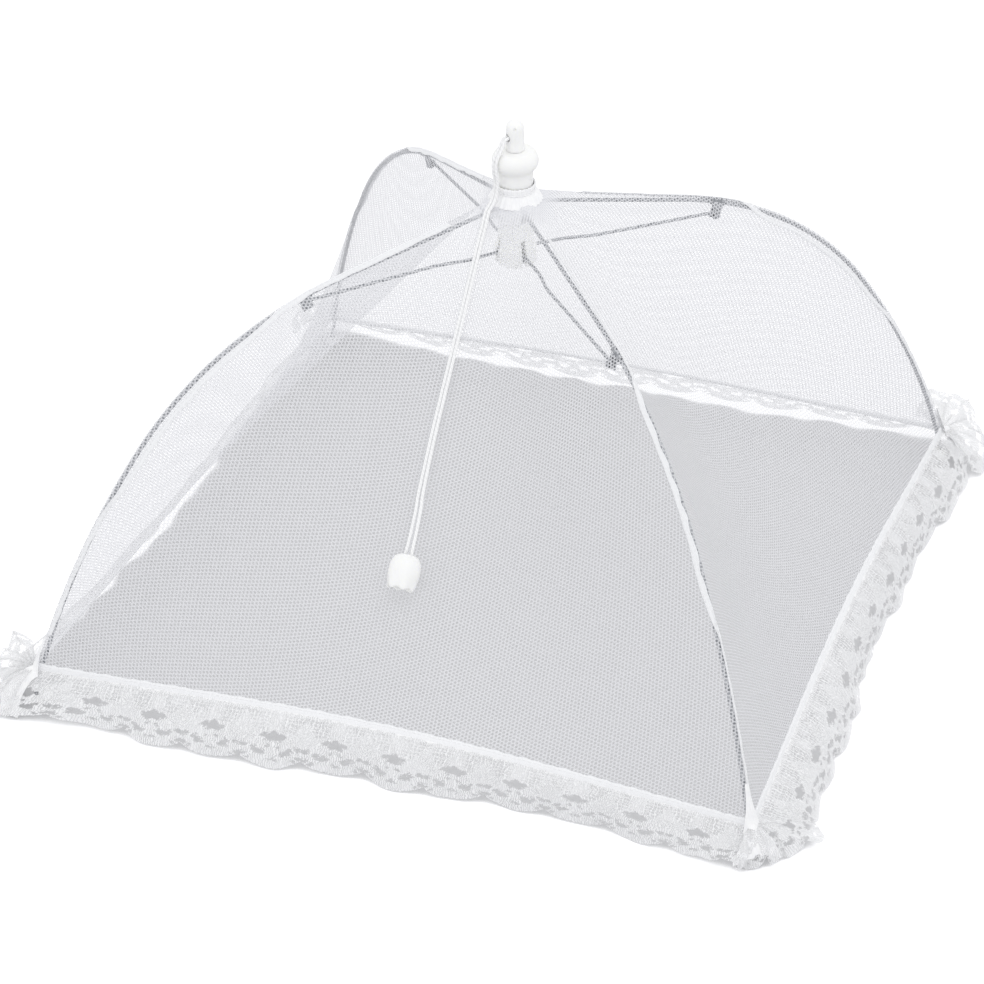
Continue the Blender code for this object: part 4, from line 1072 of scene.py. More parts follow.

# %% [markdown]
# ## The net's surface
# Each side of the tent is one gore of net. Its two long edges lie along the ribs, and between them it hangs in a
# shallow valley, because net that is pulled from both ends cannot bow outwards. The surface is a rule: across
# from rib to rib, down from hub to hem, with a dip in the middle. The UVs hold real metres along the cloth, the
# way across measured along a row and the way down measured square to it, so that cells neither swell nor shear.
# A gore is made as two halves.

# %% Net rule
NET_TOP_RADIUS = 0.0127
NET_TOP_HEIGHT = 0.2455
RIDGE_START = (NET_TOP_RADIUS - RIB_START.x) / math.cos(RIB_SLOPE)
SHOWN_RIDGE = 0.0021
RISE_AT_HUB = 0.0042
CORNER_RIDGE = rib_at(RIB_AT_HEM)[0] + outside_of(FOOT_SLOPE) * MODEL_RIDGE
VALLEY_TOP = Vector((0, -NET_TOP_RADIUS, NET_TOP_HEIGHT))
VALLEY_FOOT = Vector((0, 0.003 - HALF_SIDE, CORNER_RIDGE.y + 0.0065))
SIDES = {"front": 0, "right": 90, "back": 180, "left": 270}
CORNER_OF = {
    ("front", "left"): "front_left",
    ("front", "right"): "front_right",
    ("right", "left"): "front_right",
    ("right", "right"): "back_right",
    ("back", "left"): "back_right",
    ("back", "right"): "back_left",
    ("left", "left"): "back_left",
    ("left", "right"): "front_left",
}


def ridge(share, corner_angle, bow):
    """A point of the net over a rib that is bowed out by this much at its foot."""
    reach = RIDGE_START + (RIB_AT_HEM - RIDGE_START) * share
    point, slope = rib_at(reach)
    offset = SHOWN_RIDGE + (MODEL_RIDGE - SHOWN_RIDGE) * share**8 + RISE_AT_HUB * (1 - share) ** 6
    point = point + outside_of(slope) * (offset + bowed(reach, bow))
    return spin(corner_angle) @ in_plane(point)


def net_point(side, across, down):
    """A point of a side's net, in the front side's place: across from its left rib to its right, down to the hem."""
    left = ridge(down, -135, RIB_BOW[CORNER_OF[side, "left"]])
    right = ridge(down, -45, RIB_BOW[CORNER_OF[side, "right"]])
    valley = VALLEY_TOP.lerp(VALLEY_FOOT, down)
    dip = 0.5 * math.sin(math.pi * across) ** 2 + 0.5 * (1 - (2 * across - 1) ** 2)
    return left.lerp(right, across) + (valley - (left + right) / 2) * dip


def below_hem(side, across, reach):
    """A point this far below the hem line, or above it where reach is negative."""
    hem = net_point(side, across, 1.0)
    return hem + (hem - net_point(side, across, 0.999)).normalized() * reach


def cloth_uvs(rows):
    """UVs in metres for rows of points: along the row from its first point, and square to the rows down them."""
    across = [lengths_along(row) for row in rows]
    down = [[0.0] * len(rows[0])]
    for i, (upper, lower) in enumerate(zip(rows, rows[1:])):
        made = []
        for j, point in enumerate(upper):
            step = lower[j] - point
            ahead = (upper[min(j + 1, len(upper) - 1)] - upper[max(j - 1, 0)]).normalized()
            made.append(down[i][j] + (step - ahead * step.dot(ahead)).length)
        down.append(made)
    return across, down


def cloth_area(made):
    """The area of a sheet's faces, in square metres."""
    return sum(face.area for face in made.data.polygons)


print("hem corner at a height of", round(1000 * CORNER_RIDGE.y, 1), "mm")

# %% Net halves
NET_COLUMNS = 36
NET_ROWS = 72
BINDING_WIDTH = 0.0044


def half_side(half, count):
    """Shares across a side, in even steps from its middle to one of its ends."""
    way = -1 if half == "left" else 1
    return [0.5 + way * share / 2 for share in shares(count)]


def half_sheet(kind, side, half, rows, uvs, material):
    """A sheet from rows that start at the middle of the front side, turned to its own side and facing outwards."""
    if half == "left":
        rows, uvs = [row[::-1] for row in rows], [row[::-1] for row in uvs]
    turn = spin(SIDES[side])
    rows = [[turn @ point for point in row] for row in rows]
    return grid_mesh(f"{kind}_{side}_{half}_half", rows, uvs, material)


def net_half(side, half):
    """Half a gore of net, from its centre line to a rib, under the hem binding at its foot."""
    way = -1 if half == "left" else 1
    columns = half_side(half, NET_COLUMNS)
    rows = [[net_point(side, u, v) for u in columns] for v in shares(NET_ROWS)]
    rows.append([below_hem(side, u, BINDING_WIDTH / 4) for u in columns])
    across, down = cloth_uvs(rows)
    uvs = [[(way * x * (1 + 0.5 * math.exp(-y / 0.045)), y) for x, y in zip(*pair)] for pair in zip(across, down)]
    return half_sheet("net", side, half, rows, uvs, WHITE_NET)


def fold_with_rib(made):
    """Bakes a piece's place into its mesh."""
    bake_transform(made)
    return made


halves = [(side, half) for side in SIDES for half in ("left", "right")]
for side, half in halves:
    made = net_half(side, half)
    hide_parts(f"net_{side}")
    fold_with_rib(made)

# %% [markdown]
# ## Tapes and stitches
# White tape is folded over the net's lower edge, and a narrow tape along each rib makes the tunnel that holds the
# wire. Seen from outside, it starts beside its rib, and crosses over it on the way down. Both are flat bands that
# follow the net's rule. Stitches are the kind of detail that is wrong to place by hand: a second Geometry Nodes
# tree walks along a path, drops one small capsule every few millimetres and turns it along the path.


# %% Geometry Nodes: stitches along a path
def stitch_tree():
    """Drops a capsule at even steps along a path, turned along it."""
    tree, start = new_geometry_tree(
        "stitches",
        {
            "Pitch": ("NodeSocketFloat", 0.003),
            "Thread Radius": ("NodeSocketFloat", 0.00025),
            "Stitch Length": ("NodeSocketFloat", 0.002),
            "Material": ("NodeSocketMaterial", None),
        },
    )
    curve = tree.nodes.new("GeometryNodeMeshToCurve")
    steps = tree.nodes.new("GeometryNodeResampleCurve")
    steps.mode = "LENGTH"
    ball = tree.nodes.new("GeometryNodeMeshUVSphere")
    ball.inputs["Segments"].default_value = 6
    ball.inputs["Rings"].default_value = 4
    ball.inputs["Radius"].default_value = 1.0
    size = tree.nodes.new("ShaderNodeCombineXYZ")
    half = tree.nodes.new("ShaderNodeMath")
    half.operation = "MULTIPLY"
    half.inputs[1].default_value = 0.5
    tangent = tree.nodes.new("GeometryNodeInputTangent")
    align = tree.nodes.new("FunctionNodeAlignRotationToVector")
    align.axis = "Z"
    drop = tree.nodes.new("GeometryNodeInstanceOnPoints")
    tree.links.new(start.outputs["Geometry"], curve.inputs["Mesh"])
    tree.links.new(curve.outputs[0], steps.inputs["Curve"])
    tree.links.new(start.outputs["Pitch"], steps.inputs["Length"])
    tree.links.new(start.outputs["Stitch Length"], half.inputs[0])
    for axis in "XY":
        tree.links.new(start.outputs["Thread Radius"], size.inputs[axis])
    tree.links.new(half.outputs[0], size.inputs["Z"])
    tree.links.new(tangent.outputs[0], align.inputs["Vector"])
    tree.links.new(steps.outputs[0], drop.inputs["Points"])
    tree.links.new(ball.outputs["Mesh"], drop.inputs["Instance"])
    tree.links.new(align.outputs[0], drop.inputs["Rotation"])
    tree.links.new(size.outputs[0], drop.inputs["Scale"])
    finish_tree(tree, start, drop.outputs[0])
    return tree


STITCHES = stitch_tree()


def sewn_along(name, path, pitch, thread_radius, stitch_length):
    """Stitches along a path, or along several."""
    sizes = {"Pitch": pitch, "Thread Radius": thread_radius, "Stitch Length": stitch_length}
    return grown(name, path, STITCHES, Material=SEWING_THREAD, **sizes)


print("tree", STITCHES.name, "with", len(STITCHES.nodes), "nodes")

# %% Hem binding
BINDING_PUFF = 0.0007
BINDING_STEPS = 96


def band_rows(lines, thickness):
    """Rows of a closed, slightly puffed band between two edge lines given as (one edge, other edge, outward)."""
    rows = []
    for one, other, outward in lines:
        ring = []
        for k in range(12):
            a = math.tau * k / 12
            share = 0.5 - 0.5 * math.cos(a)
            lift = math.copysign(abs(math.sin(a)) ** 0.7, math.sin(a)) * thickness / 2
            ring.append(one.lerp(other, share) + outward * lift)
        rows.append(ring)
    return rows


def band_mesh(name, lines, thickness, material):
    """A closed band with UVs of metres round it and along it."""
    along = lengths_along([one for one, _, _ in lines])
    width = (lines[0][1] - lines[0][0]).length
    uvs = [[(2 * width * k / 12, reach) for k in range(13)] for reach in along]
    made = grid_mesh(name, band_rows(lines, thickness), uvs, material, wrap=True)
    shape = bmesh.new()
    shape.from_mesh(made.data)
    bmesh.ops.recalc_face_normals(shape, faces=shape.faces)
    shape.to_mesh(made.data)
    shape.free()
    return made


def hem_line(u, side):
    """The hem binding's two edges and its outward way at a share across the side."""
    turn = spin(SIDES[side])
    upper, lower = below_hem(side, u, -BINDING_WIDTH / 2), below_hem(side, u, BINDING_WIDTH / 2)
    ahead = (below_hem(side, min(u + 0.01, 1), 0) - below_hem(side, max(u - 0.01, 0), 0)).normalized()
    outward = ahead.cross(upper - lower).normalized()
    ripple = 1 + 0.10 * math.sin(u * 331) + 0.08 * math.sin(u * 127 + 1.3)
    middle = (upper + lower) / 2
    upper, lower = middle + (upper - middle) * ripple, middle + (lower - middle) * ripple
    return turn @ upper, turn @ lower, turn @ outward


bindings = {}
for side, half in halves:
    lines = [hem_line(u, side) for u in half_side(half, BINDING_STEPS)]
    made = band_mesh(f"hem_tape_{side}_{half}_half", lines, 2 * BINDING_PUFF, SEAM_TAPE)
    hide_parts(f"hem_binding_{side}")
    bindings[side, half] = [fold_with_rib(made)]
    seam = [one.lerp(other, 0.3) + outward * (BINDING_PUFF * 0.95) for one, other, outward in lines]
    sewn = sewn_along(f"hem_stitches_{side}_{half}_half", seam, 0.0028, 0.00022, 0.0021)
    bindings[side, half].append(fold_with_rib(sewn))
print("hem tapes:", len(bindings), "with stitches of", len(sewn.data.polygons), "faces on each")

# %% Rib casings
CASING_WIDTH = 0.0034
CASING_OVER = 0.0005
CASING_THICKNESS = 0.0003
CASING_TOP = 0.075
CASING_FOOT = 0.945
CASING_ROWS = 90
SEAM_TOP = 0.08
SEAM_SPAN = 0.860
SEAM_OVER = 0.0006
BELOW_CLIP = (0.33, 0.42)
NEAR_HEM = (0.66, 0.76)
LEFT_RIB_PLANE = Vector((-math.sin(math.radians(225)), math.cos(math.radians(225)), 0))


def smooth_step(value, start, end):
    """0 before the start, 1 after the end, and smooth between them."""
    t = min(max((value - start) / (end - start), 0.0), 1.0)
    return t * t * (3 - 2 * t)


def on_net(side, reach, down):
    """A point of a side's net this far from its left edge along a row, and the outward normal there."""
    step = 0.004
    before, u = net_point(side, 0.0, down), 0.0
    gone = 0.0
    while True:
        point = net_point(side, u + step, down)
        length = (point - before).length
        if gone + length >= reach or u > 0.49:
            break
        gone, before, u = gone + length, point, u + step
    u += step * (reach - gone) / length
    here = net_point(side, u, down)
    over = net_point(side, u + 0.002, down) - here
    lower = min(down + 0.002, 1.0)
    below = net_point(side, u, lower) - net_point(side, u, lower - 0.002)
    return here, over.cross(-below).normalized()


def seam_point(side, reach, down, over):
    """A point this far over the net and this far along it from its left rib, past the rib where reach is negative."""
    point, outward = on_net(side, abs(reach), down)
    over_rib = outward - LEFT_RIB_PLANE * outward.dot(LEFT_RIB_PLANE)
    share = min(abs(reach) / 0.0015, 1.0)
    outward = over_rib.normalized().lerp(outward, share).normalized()
    if reach < 0:
        point = point - LEFT_RIB_PLANE * (2 * point.dot(LEFT_RIB_PLANE))
        outward = outward - LEFT_RIB_PLANE * (2 * outward.dot(LEFT_RIB_PLANE))
    return spin(SIDES[side]) @ (point + outward * over)


# Where each casing's first edge lies off its rib: below the clip, and near the hem.
CASING_STARTS = {
    "front_right": (-0.0044, 0.0004),
    "back_right": (-0.0085, -0.0035),
    "back_left": (-0.0044, 0.0004),
    "front_left": (0.0040, 0.0010),
}


def casing_edges(down, side):
    """The reach of the casing's two uneven edges. Its course changes below the clip and again lower down."""
    below_clip, near_hem = CASING_STARTS[CORNER_OF[side, "left"]]
    start = 0.0004 + (below_clip - 0.0004) * smooth_step(down, *BELOW_CLIP)
    start += (near_hem - below_clip) * smooth_step(down, *NEAR_HEM)
    seed = SIDES[side]
    start += 0.0005 * noise.noise(Vector((down * 45, seed, 0.7)))
    width = CASING_WIDTH * (1 - 0.35 * smooth_step(down, *NEAR_HEM))
    return start, start + width * (1 + 0.35 * noise.noise(Vector((down * 38, seed, 3.2))))


def casing_mesh(side, corner):
    """A thin closed band on the net that crosses over its rib."""
    steps = 8
    rings, uvs = [], []
    for share in shares(CASING_ROWS):
        down = CASING_TOP + (CASING_FOOT - CASING_TOP) * share
        start, end = casing_edges(down, side)
        reaches = [start + (end - start) * k / steps for k in range(steps + 1)]
        ring = [seam_point(side, reach, down, CASING_OVER) for reach in reaches]
        ring += [seam_point(side, reach, down, CASING_OVER - CASING_THICKNESS) for reach in reversed(reaches)]
        rings.append(ring)
        uvs.append([(CASING_WIDTH * k / steps, 0.27 * share) for k in range(len(ring) + 1)])
    return grid_mesh(f"casing_tape_{corner}", rings, uvs, SEAM_TAPE, wrap=True)


for side in SIDES:
    corner = CORNER_OF[side, "left"]
    made = casing_mesh(side, corner)
    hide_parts(f"rib_casing_{corner}")
    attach(made, f"rib_{corner}")
    seams = []
    for place in (0.2, 0.8):
        seam = []
        for share in shares(CASING_ROWS):
            down = SEAM_TOP + SEAM_SPAN * share
            start, end = casing_edges(down, side)
            seam.append(seam_point(side, start + (end - start) * place, down, SEAM_OVER))
        seams.append(seam)
    sewn = sewn_along(f"casing_stitches_{corner}", seams, 0.0032, 0.00018, 0.0024)
    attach(sewn, f"rib_{corner}")
print("casings:", len(SIDES), "with stitches of", len(sewn.data.polygons), "faces on each")

# %% [markdown]
# ## The lace flounce
# The lace hangs from the hem tape to the table and spreads outwards. A flounce is cut longer than the edge it is
# sewn to, so it ripples: a little along the sides, and a lot at the corners, where it is bunched to get round.
# The ripple is a sum of waves that grows from nothing at the tape to its full size at the free edge. LACE_PHASE
# slides the motif along, so that it meets the corners where the real one does.

# %% Lace halves
LACE_SCALLOPS = 12
LACE_PHASE = 0.3
LACE_COLUMNS = 14 * LACE_SCALLOPS
LACE_ROWS = 16
# How far the free edge stands outside the hem at five even stops along each side.
LACE_FLARES = {
    "front": (0.026, 0.021, 0.013, 0.009, 0.013),
    "right": (0.026, 0.023, 0.015, 0.019, 0.023),
    "back": (0.024, 0.018, 0.015, 0.018, 0.022),
    "left": (0.022, 0.018, 0.015, 0.020, 0.032),
}
# Where the free edge of each half ends, measured along its side from the middle.
LACE_ENDS = {
    ("front", "left"): -0.217,
    ("front", "right"): 0.198,
    ("right", "left"): -0.184,
    ("right", "right"): 0.206,
    ("back", "left"): -0.205,
    ("back", "right"): 0.214,
    ("left", "left"): -0.214,
    ("left", "right"): 0.196,
}


def flare_at(side, u):
    """How far the lace's edge stands outside the hem, eased between the side's five stops."""
    stops = LACE_FLARES[side]
    k = min(int(u * 4), 3)
    return stops[k] + (stops[k + 1] - stops[k]) * smooth_step(u * 4 - k, 0, 1)


def ripple_at(u, side, seed, count):
    """An uneven wave along a side, from about -1 to 1."""
    place = Vector((u * count, list(SIDES).index(side) * 7.3 + seed, 0.4))
    return max(min(2.0 * noise.noise(place), 1.0), -1.0)


def lace_point(side, u, down):
    """A point of a side's lace in the front side's place, across and down by shares."""
    top = below_hem(side, u, BINDING_WIDTH / 2 - 0.0006)
    end = LACE_ENDS[side, "left" if u < 0.5 else "right"]
    near_corner = smooth_step(abs(top.x), 0.15, 0.2)
    along = top.x + (end - math.copysign(HALF_SIDE, end)) * near_corner
    foot = Vector((along, -HALF_SIDE - flare_at(side, u), 0))
    size = (0.0024 + 0.0042 * smooth_step(abs(top.x), 0.14, 0.185)) * down**1.2
    swing = ripple_at(u, side, 0.0, 10.0) * size
    swing += ripple_at(u, side, 5.0, 27.0) * (0.0011 + 0.0011 * near_corner) * down
    lift = (0.5 + 0.5 * ripple_at(u, side, 3.1, 8.0)) * (0.002 + 0.004 * near_corner) * down**2
    sway = ripple_at(u, side, 8.2, 20.0) * 0.0013 * down
    belly = math.sin(math.pi * down) * (0.003 - 0.0025 * near_corner)
    return top.lerp(foot, down) + Vector((sway, -swing - belly, lift + belly + 0.0007))


def lace_tip(repeats):
    """The share of the lace's depth at which its scalloped edge lies."""
    lobe = abs(math.sin(math.pi * repeats)) ** 0.6
    return 1 - 0.17 * (1 - lobe) + 0.009 * math.sin(math.tau * 9.5 * repeats) * lobe


def lace_half(side, half):
    """Half of a side's lace, from the middle to the corner."""
    rows, uvs = [], []
    for share in shares(LACE_ROWS):
        row, uv_row = [], []
        for u in half_side(half, LACE_COLUMNS):
            repeats = LACE_SCALLOPS * u + LACE_PHASE
            tip = lace_tip(repeats)
            row.append(lace_point(side, u, share * tip))
            uv_row.append((repeats, share * tip))
        rows.append(row)
        uvs.append(uv_row)
    return half_sheet("lace", side, half, rows, uvs, WHITE_LACE)


for side, half in halves:
    made = lace_half(side, half)
    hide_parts(f"lace_{side}")
    fold_with_rib(made)

# %% [markdown]
# ## Lace round the corners
# The flounce runs on round each corner without a mitre, and the spare length is bunched there, so it spreads into
# a ruffle. No two corners are alike, because they are bunched by hand: one hangs straight down, one stands up
# behind its corner, one reaches far out to the side. Each ruffle is a fan round the hem's corner. A few stops say
# which way its edge points, how far it reaches and how high it stands, and the same motif and scallops as on the
# straight lace run round it.

# %% Corner ruffles
RUFFLE_COLUMNS_EACH = 24
RUFFLE_ROWS = 18
RUFFLES = {
    "front_right": [
        (-104, 0.014, 0.001),
        (-78, 0.011, 0.002),
        (-35, 0.009, 0.002),
        (5, 0.014, 0.002),
        (38, 0.030, 0.001),
    ],
    "back_right": [
        (-38, 0.028, 0.001),
        (-14, 0.029, 0.002),
        (14, 0.027, 0.004),
        (38, 0.026, 0.009),
        (60, 0.029, 0.015),
        (80, 0.034, 0.024),
        (100, 0.030, 0.030),
        (122, 0.024, 0.029),
        (145, 0.023, 0.018),
    ],
    "back_left": [
        (85, 0.022, 0.004),
        (110, 0.026, 0.012),
        (135, 0.029, 0.020),
        (160, 0.027, 0.014),
        (188, 0.024, 0.003),
    ],
    "front_left": [
        (122, 0.026, 0.020),
        (138, 0.034, 0.023),
        (152, 0.034, 0.016),
        (168, 0.036, 0.009),
        (186, 0.028, 0.005),
        (205, 0.022, 0.003),
        (228, 0.024, 0.002),
        (255, 0.022, 0.001),
    ],
}


def along_stops(stops, share):
    """Values eased between stops that are spaced evenly over a share from 0 to 1."""
    place = share * (len(stops) - 1)
    k = min(int(place), len(stops) - 2)
    t = smooth_step(place - k, 0, 1)
    return [one + (two - one) * t for one, two in zip(stops[k], stops[k + 1])]


def ruffle_mesh(corner):
    """The lace that runs round one corner."""
    stops, seed = RUFFLES[corner], list(CORNERS).index(corner) * 5.3
    centre = ridge(1.0, CORNERS[corner], RIB_BOW[corner]) - Vector((0, 0, 0.0006))
    edge = []
    for share in shares(60):
        way, reach, lift = along_stops(stops, share)
        edge.append(way_at(way) * reach + Vector((0, 0, lift)))
    repeats = max(round(1.15 * lengths_along(edge)[-1] / (2 * HALF_SIDE / LACE_SCALLOPS)), 1)
    columns = RUFFLE_COLUMNS_EACH * (repeats + 1)
    rows, uvs = [], []
    for down in shares(RUFFLE_ROWS):
        row, uv_row = [], []
        for share in shares(columns):
            way, reach, lift = along_stops(stops, share)
            tip = down * lace_tip(repeats * share)
            wave = noise.noise(Vector((share * repeats * 2.1, seed, 0.3)))
            curl = noise.noise(Vector((share * repeats * 4.7, seed, 4.1)))
            way += wave * 6 * tip
            out = 0.0035 + (reach + wave * 0.003) * tip + math.sin(math.pi * tip) * 0.002
            height = centre.z + (lift - centre.z) * tip**1.25 + (curl * 0.0035 + wave * 0.004) * tip
            height += math.sin(math.pi * tip) * 0.002
            place = Vector((centre.x, centre.y, 0)) + way_at(way) * out
            row.append(Vector((place.x, place.y, max(height, 0.0012 + 0.0006 * (1 + wave)))))
            uv_row.append((share * repeats, 0.12 + 0.88 * tip))
        rows.append(row)
        uvs.append(uv_row)
    return grid_mesh(f"lace_corner_{corner}", rows, uvs, WHITE_LACE)


for corner in CORNERS:
    made = ruffle_mesh(corner)
    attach(made, f"rib_{corner}")
    print(made.name, "is", round(1e4 * cloth_area(made), 1), "square centimetres")

# %% [markdown]
# ## Gathers over the ribs' feet
# At each corner the net itself is drawn together and sewn over the rib's foot. It shows as an opaque white strip
# that comes down over the wire, grows wider to the hem's corner and ends in a few soft folds over the lace. For
# each, "way" is where it points and "reach" how far, and "band" is how much of the rib it covers.

# %% Corner gathers
TUFT_COLUMNS = 60
TUFT_ROWS = 30
TUFT_NECK = 0.6
TUFTS = {
    "front_right": {"way": -50, "reach": 0.011, "half_width": 0.013, "end": 0.010, "band": 0.022},
    "back_right": {"way": 30, "reach": 0.014, "half_width": 0.014, "end": 0.012, "band": 0.016},
    "back_left": {"way": 140, "reach": 0.012, "half_width": 0.010, "end": 0.018, "band": 0.014},
    "front_left": {"way": 208, "reach": 0.020, "half_width": 0.016, "end": 0.006, "band": 0.012},
}


def tuft_spine(corner, down):
    """The gather's middle line, along the ridge and then out from the corner, and its way across."""
    angle, tuft = CORNERS[corner], TUFTS[corner]
    to_place = spin(angle)
    lifted = to_place @ Vector((0.0010, 0, 0.0006))
    if down <= TUFT_NECK:
        share = 1 - (1 - down / TUFT_NECK) * tuft["band"] / (RIB_AT_HEM - RIDGE_START)
        return ridge(share, angle, RIB_BOW[corner]) + lifted, to_place @ Vector((0, 1, 0))
    foot = ridge(1.0, angle, RIB_BOW[corner]) + lifted
    way = way_at(tuft["way"])
    out = (down - TUFT_NECK) / (1 - TUFT_NECK)
    height = foot.z + (tuft["end"] - foot.z) * out**1.4 + math.sin(math.pi * out) * 0.0012
    place = foot + way * tuft["reach"] * out
    across = (to_place @ Vector((0, 1, 0))).lerp(Vector((0, 0, 1)).cross(way), smooth_step(out, 0, 0.6))
    return Vector((place.x, place.y, height)), across.normalized()


def tuft_mesh(corner):
    """The gathered net over one rib's foot."""
    tuft, seed = TUFTS[corner], list(CORNERS).index(corner) * 3.7
    rows = []
    for down in shares(TUFT_ROWS):
        place, across = tuft_spine(corner, down)
        out = max((down - TUFT_NECK) / (1 - TUFT_NECK), 0.0)
        narrow = 0.0012 + 0.0040 * min(down / TUFT_NECK, 1.0) ** 2
        width = narrow + (tuft["half_width"] - 0.0052) * smooth_step(out, 0, 0.9)
        row = []
        for share in shares(TUFT_COLUMNS):
            a = 2 * share - 1
            fold = noise.noise(Vector((a * 3.1, seed, out))) + 0.5 * noise.noise(Vector((a * 8, out * 2, seed)))
            fold *= 0.0006 + 0.0022 * smooth_step(out, 0.0, 0.8)
            droop = (0.75 * width + 0.2 * width * out) * abs(a) ** 1.5
            shorter = 1 - 0.4 * a * a * smooth_step(out, 0.3, 1.0)
            point = place + across * a * width
            point += (tuft_spine(corner, TUFT_NECK)[0] - place) * (1 - shorter) * (out > 0)
            row.append(Vector((point.x, point.y, max(point.z - droop + fold, 0.0016))))
        rows.append(row)
    across, down = cloth_uvs(rows)
    uvs = [list(zip(*pair)) for pair in zip(across, down)]
    return grid_mesh(f"corner_gather_{corner}", rows, uvs, GATHERED_NET)


for corner, angle in CORNERS.items():
    made = tuft_mesh(corner)
    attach(made, f"rib_{corner}")
    print(made.name, "is", round(1e4 * cloth_area(made), 1), "square centimetres")

# %% [markdown]
# ## The hub
# The knob and the neck are one turned moulding. The model's solid has the right sizes but few facets, so a finer
# one is turned here, with small rounded edges. The gathers round the neck are a band of pleats, tight at the top
# where a thread draws them in, and opening like a skirt below.


# %% Knob, collar and drawing thread
def turned_mesh(name, outline, material, steps=72, pleats=0, depth=0.0):
    """A closed ring or knob turned from (radius, height, pleat share) points round its section."""
    shape = bmesh.new()
    rings = []
    for radius, height, share in outline:
        ring = []
        for k in range(steps):
            angle = math.tau * k / steps
            reach = radius + depth * share * math.sin(pleats * angle + 0.7 * math.sin(3 * angle))
            ring.append(shape.verts.new((reach * math.cos(angle), reach * math.sin(angle), height)))
        rings.append(ring)
    join_rings(shape, rings)
    return object_from(name, shape, material)


KNOB_OUTLINE = [
    (0.0038, 0.2736),
    (0.0074, 0.2736),
    (0.0089, 0.2734),
    (0.0103, 0.2727),
    (0.0115, 0.2714),
    (0.0123, 0.2698),
    (0.0127, 0.2680),
    (0.0125, 0.2661),
    (0.0118, 0.2644),
    (0.0108, 0.2631),
    (0.0100, 0.2623),
    (0.0096, 0.2614),
    (0.0095, 0.2590),
    (0.0095, 0.2560),
    (0.0095, 0.2502),
    (0.0093, 0.2500),
    (0.0063, 0.2500),
    (0.0063, 0.2551),
    (0.0024, 0.2551),
    (0.0024, 0.2685),
    (0.0038, 0.2685),
]
knob = turned_mesh("turned_knob", [(*point, 0) for point in KNOB_OUTLINE], WHITE_PLASTIC)
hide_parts("knob")
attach(knob, "hub")
COLLAR_OUTLINE = [
    (0.0101, 0.2538, 1.0),
    (0.0105, 0.2544, 1.0),
    (0.0110, 0.2538, 1.2),
    (0.0106, 0.2520, 0.5),
    (0.0104, 0.2508, 0.3),
    (0.0112, 0.2498, 0.6),
    (0.0123, 0.2484, 1.0),
    (0.0134, 0.2466, 1.3),
    (0.0146, 0.2446, 1.5),
    (0.0141, 0.2441, 1.5),
    (0.0128, 0.2462, 1.2),
    (0.0115, 0.2484, 0.6),
    (0.0109, 0.2496, 0.3),
    (0.0099, 0.2503, 0.2),
    (0.0098, 0.2520, 0.3),
]
collar = turned_mesh("gathered_collar", COLLAR_OUTLINE, GATHERED_NET, steps=216, pleats=27, depth=0.00028)
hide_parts("net_collar")
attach(collar, "hub")
DRAWING_RADIUS = 0.0109
DRAWING_HEIGHT = 0.2509
ring = [way_at(360 * share) * DRAWING_RADIUS + Vector((0, 0, DRAWING_HEIGHT)) for share in shares(60)]
drawing_thread = tube_mesh("drawing_thread", ring, 0.0004, GATHERED_NET, sides=8)
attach(drawing_thread, "hub")
print("hub pieces:", knob.name, collar.name, drawing_thread.name)

# %% [markdown]
# ## Finish on the pieces that stay
# The model's tip, crown, sleeve, caps, clips, rivets and rings already have the right shape. They keep their
# meshes and only take a better material, set in the object's own material slots.

# %% Dress the pieces that stay
PLASTIC_NODES = ["finial", "crown", "runner"] + [f"foot_cap_{corner}" for corner in CORNERS]
STEEL_NODES = ["crown_ring", "runner_ring"]
STEEL_NODES += [f"{kind}_{corner}" for kind in ("rib_clip", "strut_pin") for corner in CORNERS]
for names, material in ((PLASTIC_NODES, WHITE_PLASTIC), (STEEL_NODES, GALVANISED_WIRE)):
    for name in names:
        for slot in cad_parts[name].material_slots:
            slot.material = material
print("nodes that stay:", len(PLASTIC_NODES) + len(STEEL_NODES))

# %% [markdown]
# ## What is cloth
# The net and the lace are thin single layers. A gore's half is cut as a tapering piece, and the lace's scallops
# are cut away. The loop below only looks up the corner that each half belongs to.

for side, half in halves:
    corner = CORNER_OF[side, half]

# %% [markdown]
# ## Floor, world and light
# The photograph is a white object on white, lit softly from all round. The world gives an even light, and one
# large lamp adds a little direction. Rays that show the background find the world pure white. The floor is pale
# and takes the cover's shadow, and its colour is painted greyer where the cover stands over it, as painted shade.
# What its own shading lacks to white is added only for the camera, and only where the sky over it is open: an
# Ambient Occlusion node measures how much stands over each place, so the shade under the net reads as grey
# through the holes, and follows the cover when it folds.

# %% World and floor
SHELTER_DISTANCE = 0.35
SHELTERED = (0.20, 0.38)
SHADE_DROP = 0.17
CAMERA_LIFT = 0.38
scene = bpy.context.scene
scene.view_settings.view_transform = "Standard"
world = bpy.data.worlds.new("studio")
world.use_nodes = True
scene.world = world


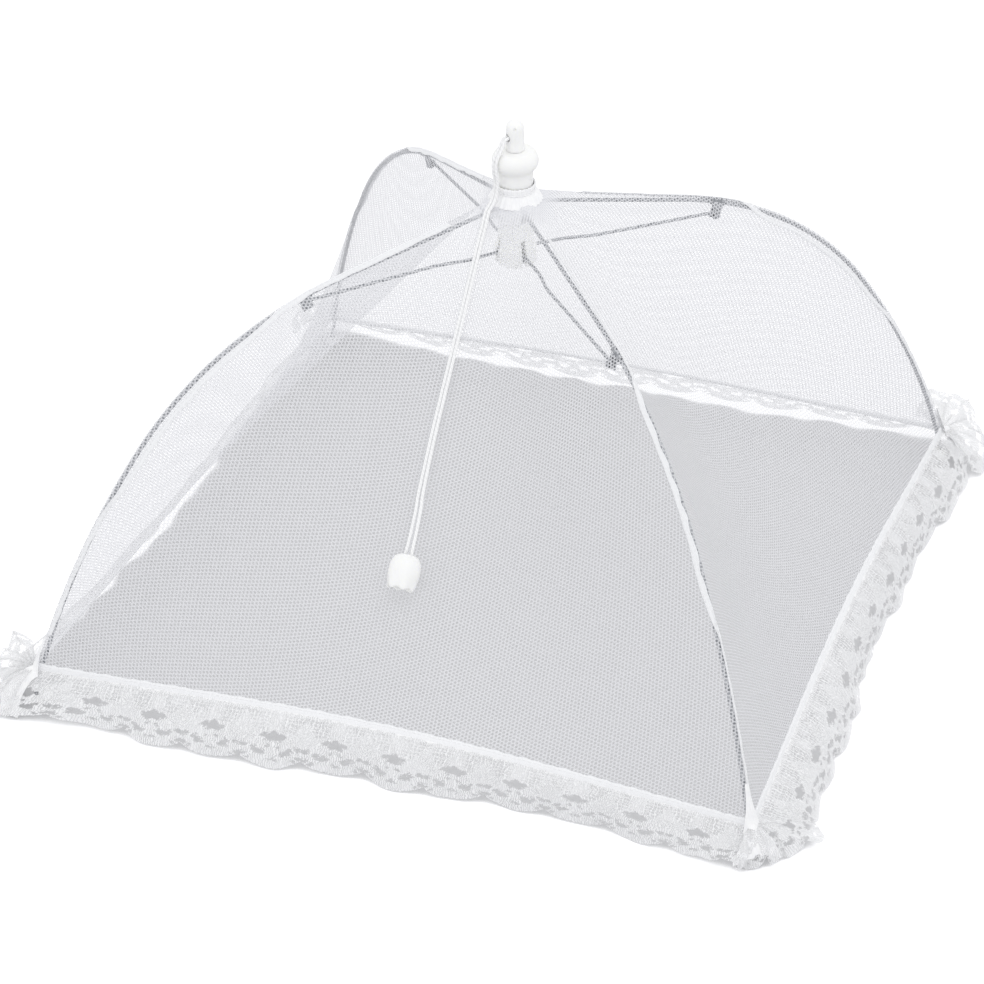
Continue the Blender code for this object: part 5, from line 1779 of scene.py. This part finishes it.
def seen_directly(tree):
    """1 for rays that show the background: from the camera, in a gloss, or through glass."""
    rays = tree.nodes.new("ShaderNodeLightPath")
    seen = Field(tree, rays.outputs["Is Camera Ray"])
    seen = seen.high(Field(tree, rays.outputs["Is Glossy Ray"]))
    return seen.high(Field(tree, rays.outputs["Is Transmission Ray"]))


light = world.node_tree.nodes["Background"]
light.inputs["Color"].default_value = (0.985, 0.99, 1.0, 1.0)
seen = seen_directly(world.node_tree)
strength = seen * 0.03 + 0.97
world.node_tree.links.new(strength.source, light.inputs["Strength"])


def floor_material():
    """Pale table top with painted shade. The camera sees it lifted to white where nothing stands over it."""
    made, tree, shader = new_material("pale_table", (0.80, 0.80, 0.80), 0.9)
    grain = use_group(tree, TONE_GRAIN, "Object", Scale=6.0, Fine_Scale=60.0)
    shelter = tree.nodes.new("ShaderNodeAmbientOcclusion")
    shelter.samples = 16
    shelter.inputs["Distance"].default_value = SHELTER_DISTANCE
    under = Field(tree, shelter.outputs["AO"]).fade(*SHELTERED)
    # painted shade: the table's colour drops where the Ambient Occlusion node finds the cover over it
    shade = Field(tree, grain.outputs["Fine"]) * 0.015 + (under * -SHADE_DROP + 0.76)
    tint = tree.nodes.new("ShaderNodeCombineColor")
    for channel, share in zip(("Red", "Green", "Blue"), (0.995, 0.995, 1.01)):
        tree.links.new((shade * share).source, tint.inputs[channel])
    tree.links.new(tint.outputs[0], shader.inputs["Base Color"])
    add_glow(made, shader, camera_rays(tree) * (under * -CAMERA_LIFT + CAMERA_LIFT))
    return made


shape = bmesh.new()
bmesh.ops.create_grid(shape, x_segments=1, y_segments=1, size=4.0)
floor = object_from("floor", shape, floor_material())
floor.location.z = -0.0003
print("floor", floor.name, "and world", world.name)

# %% Lamp
lamp_data = bpy.data.lights.new("soft_lamp", "AREA")
lamp_data.shape = "SQUARE"
lamp_data.size = 1.6
lamp_data.energy = 5.0
lamp = bpy.data.objects.new("soft_lamp", lamp_data)
lamp_place = Vector((0.8, -1.1, 2.2))
lamp.location = lamp_place
lamp.rotation_euler = (lamp_place - Vector((0, 0, 0.1))).to_track_quat("Z", "Y").to_euler()
scene.collection.objects.link(lamp)
print("lamp at", tuple(lamp_place))
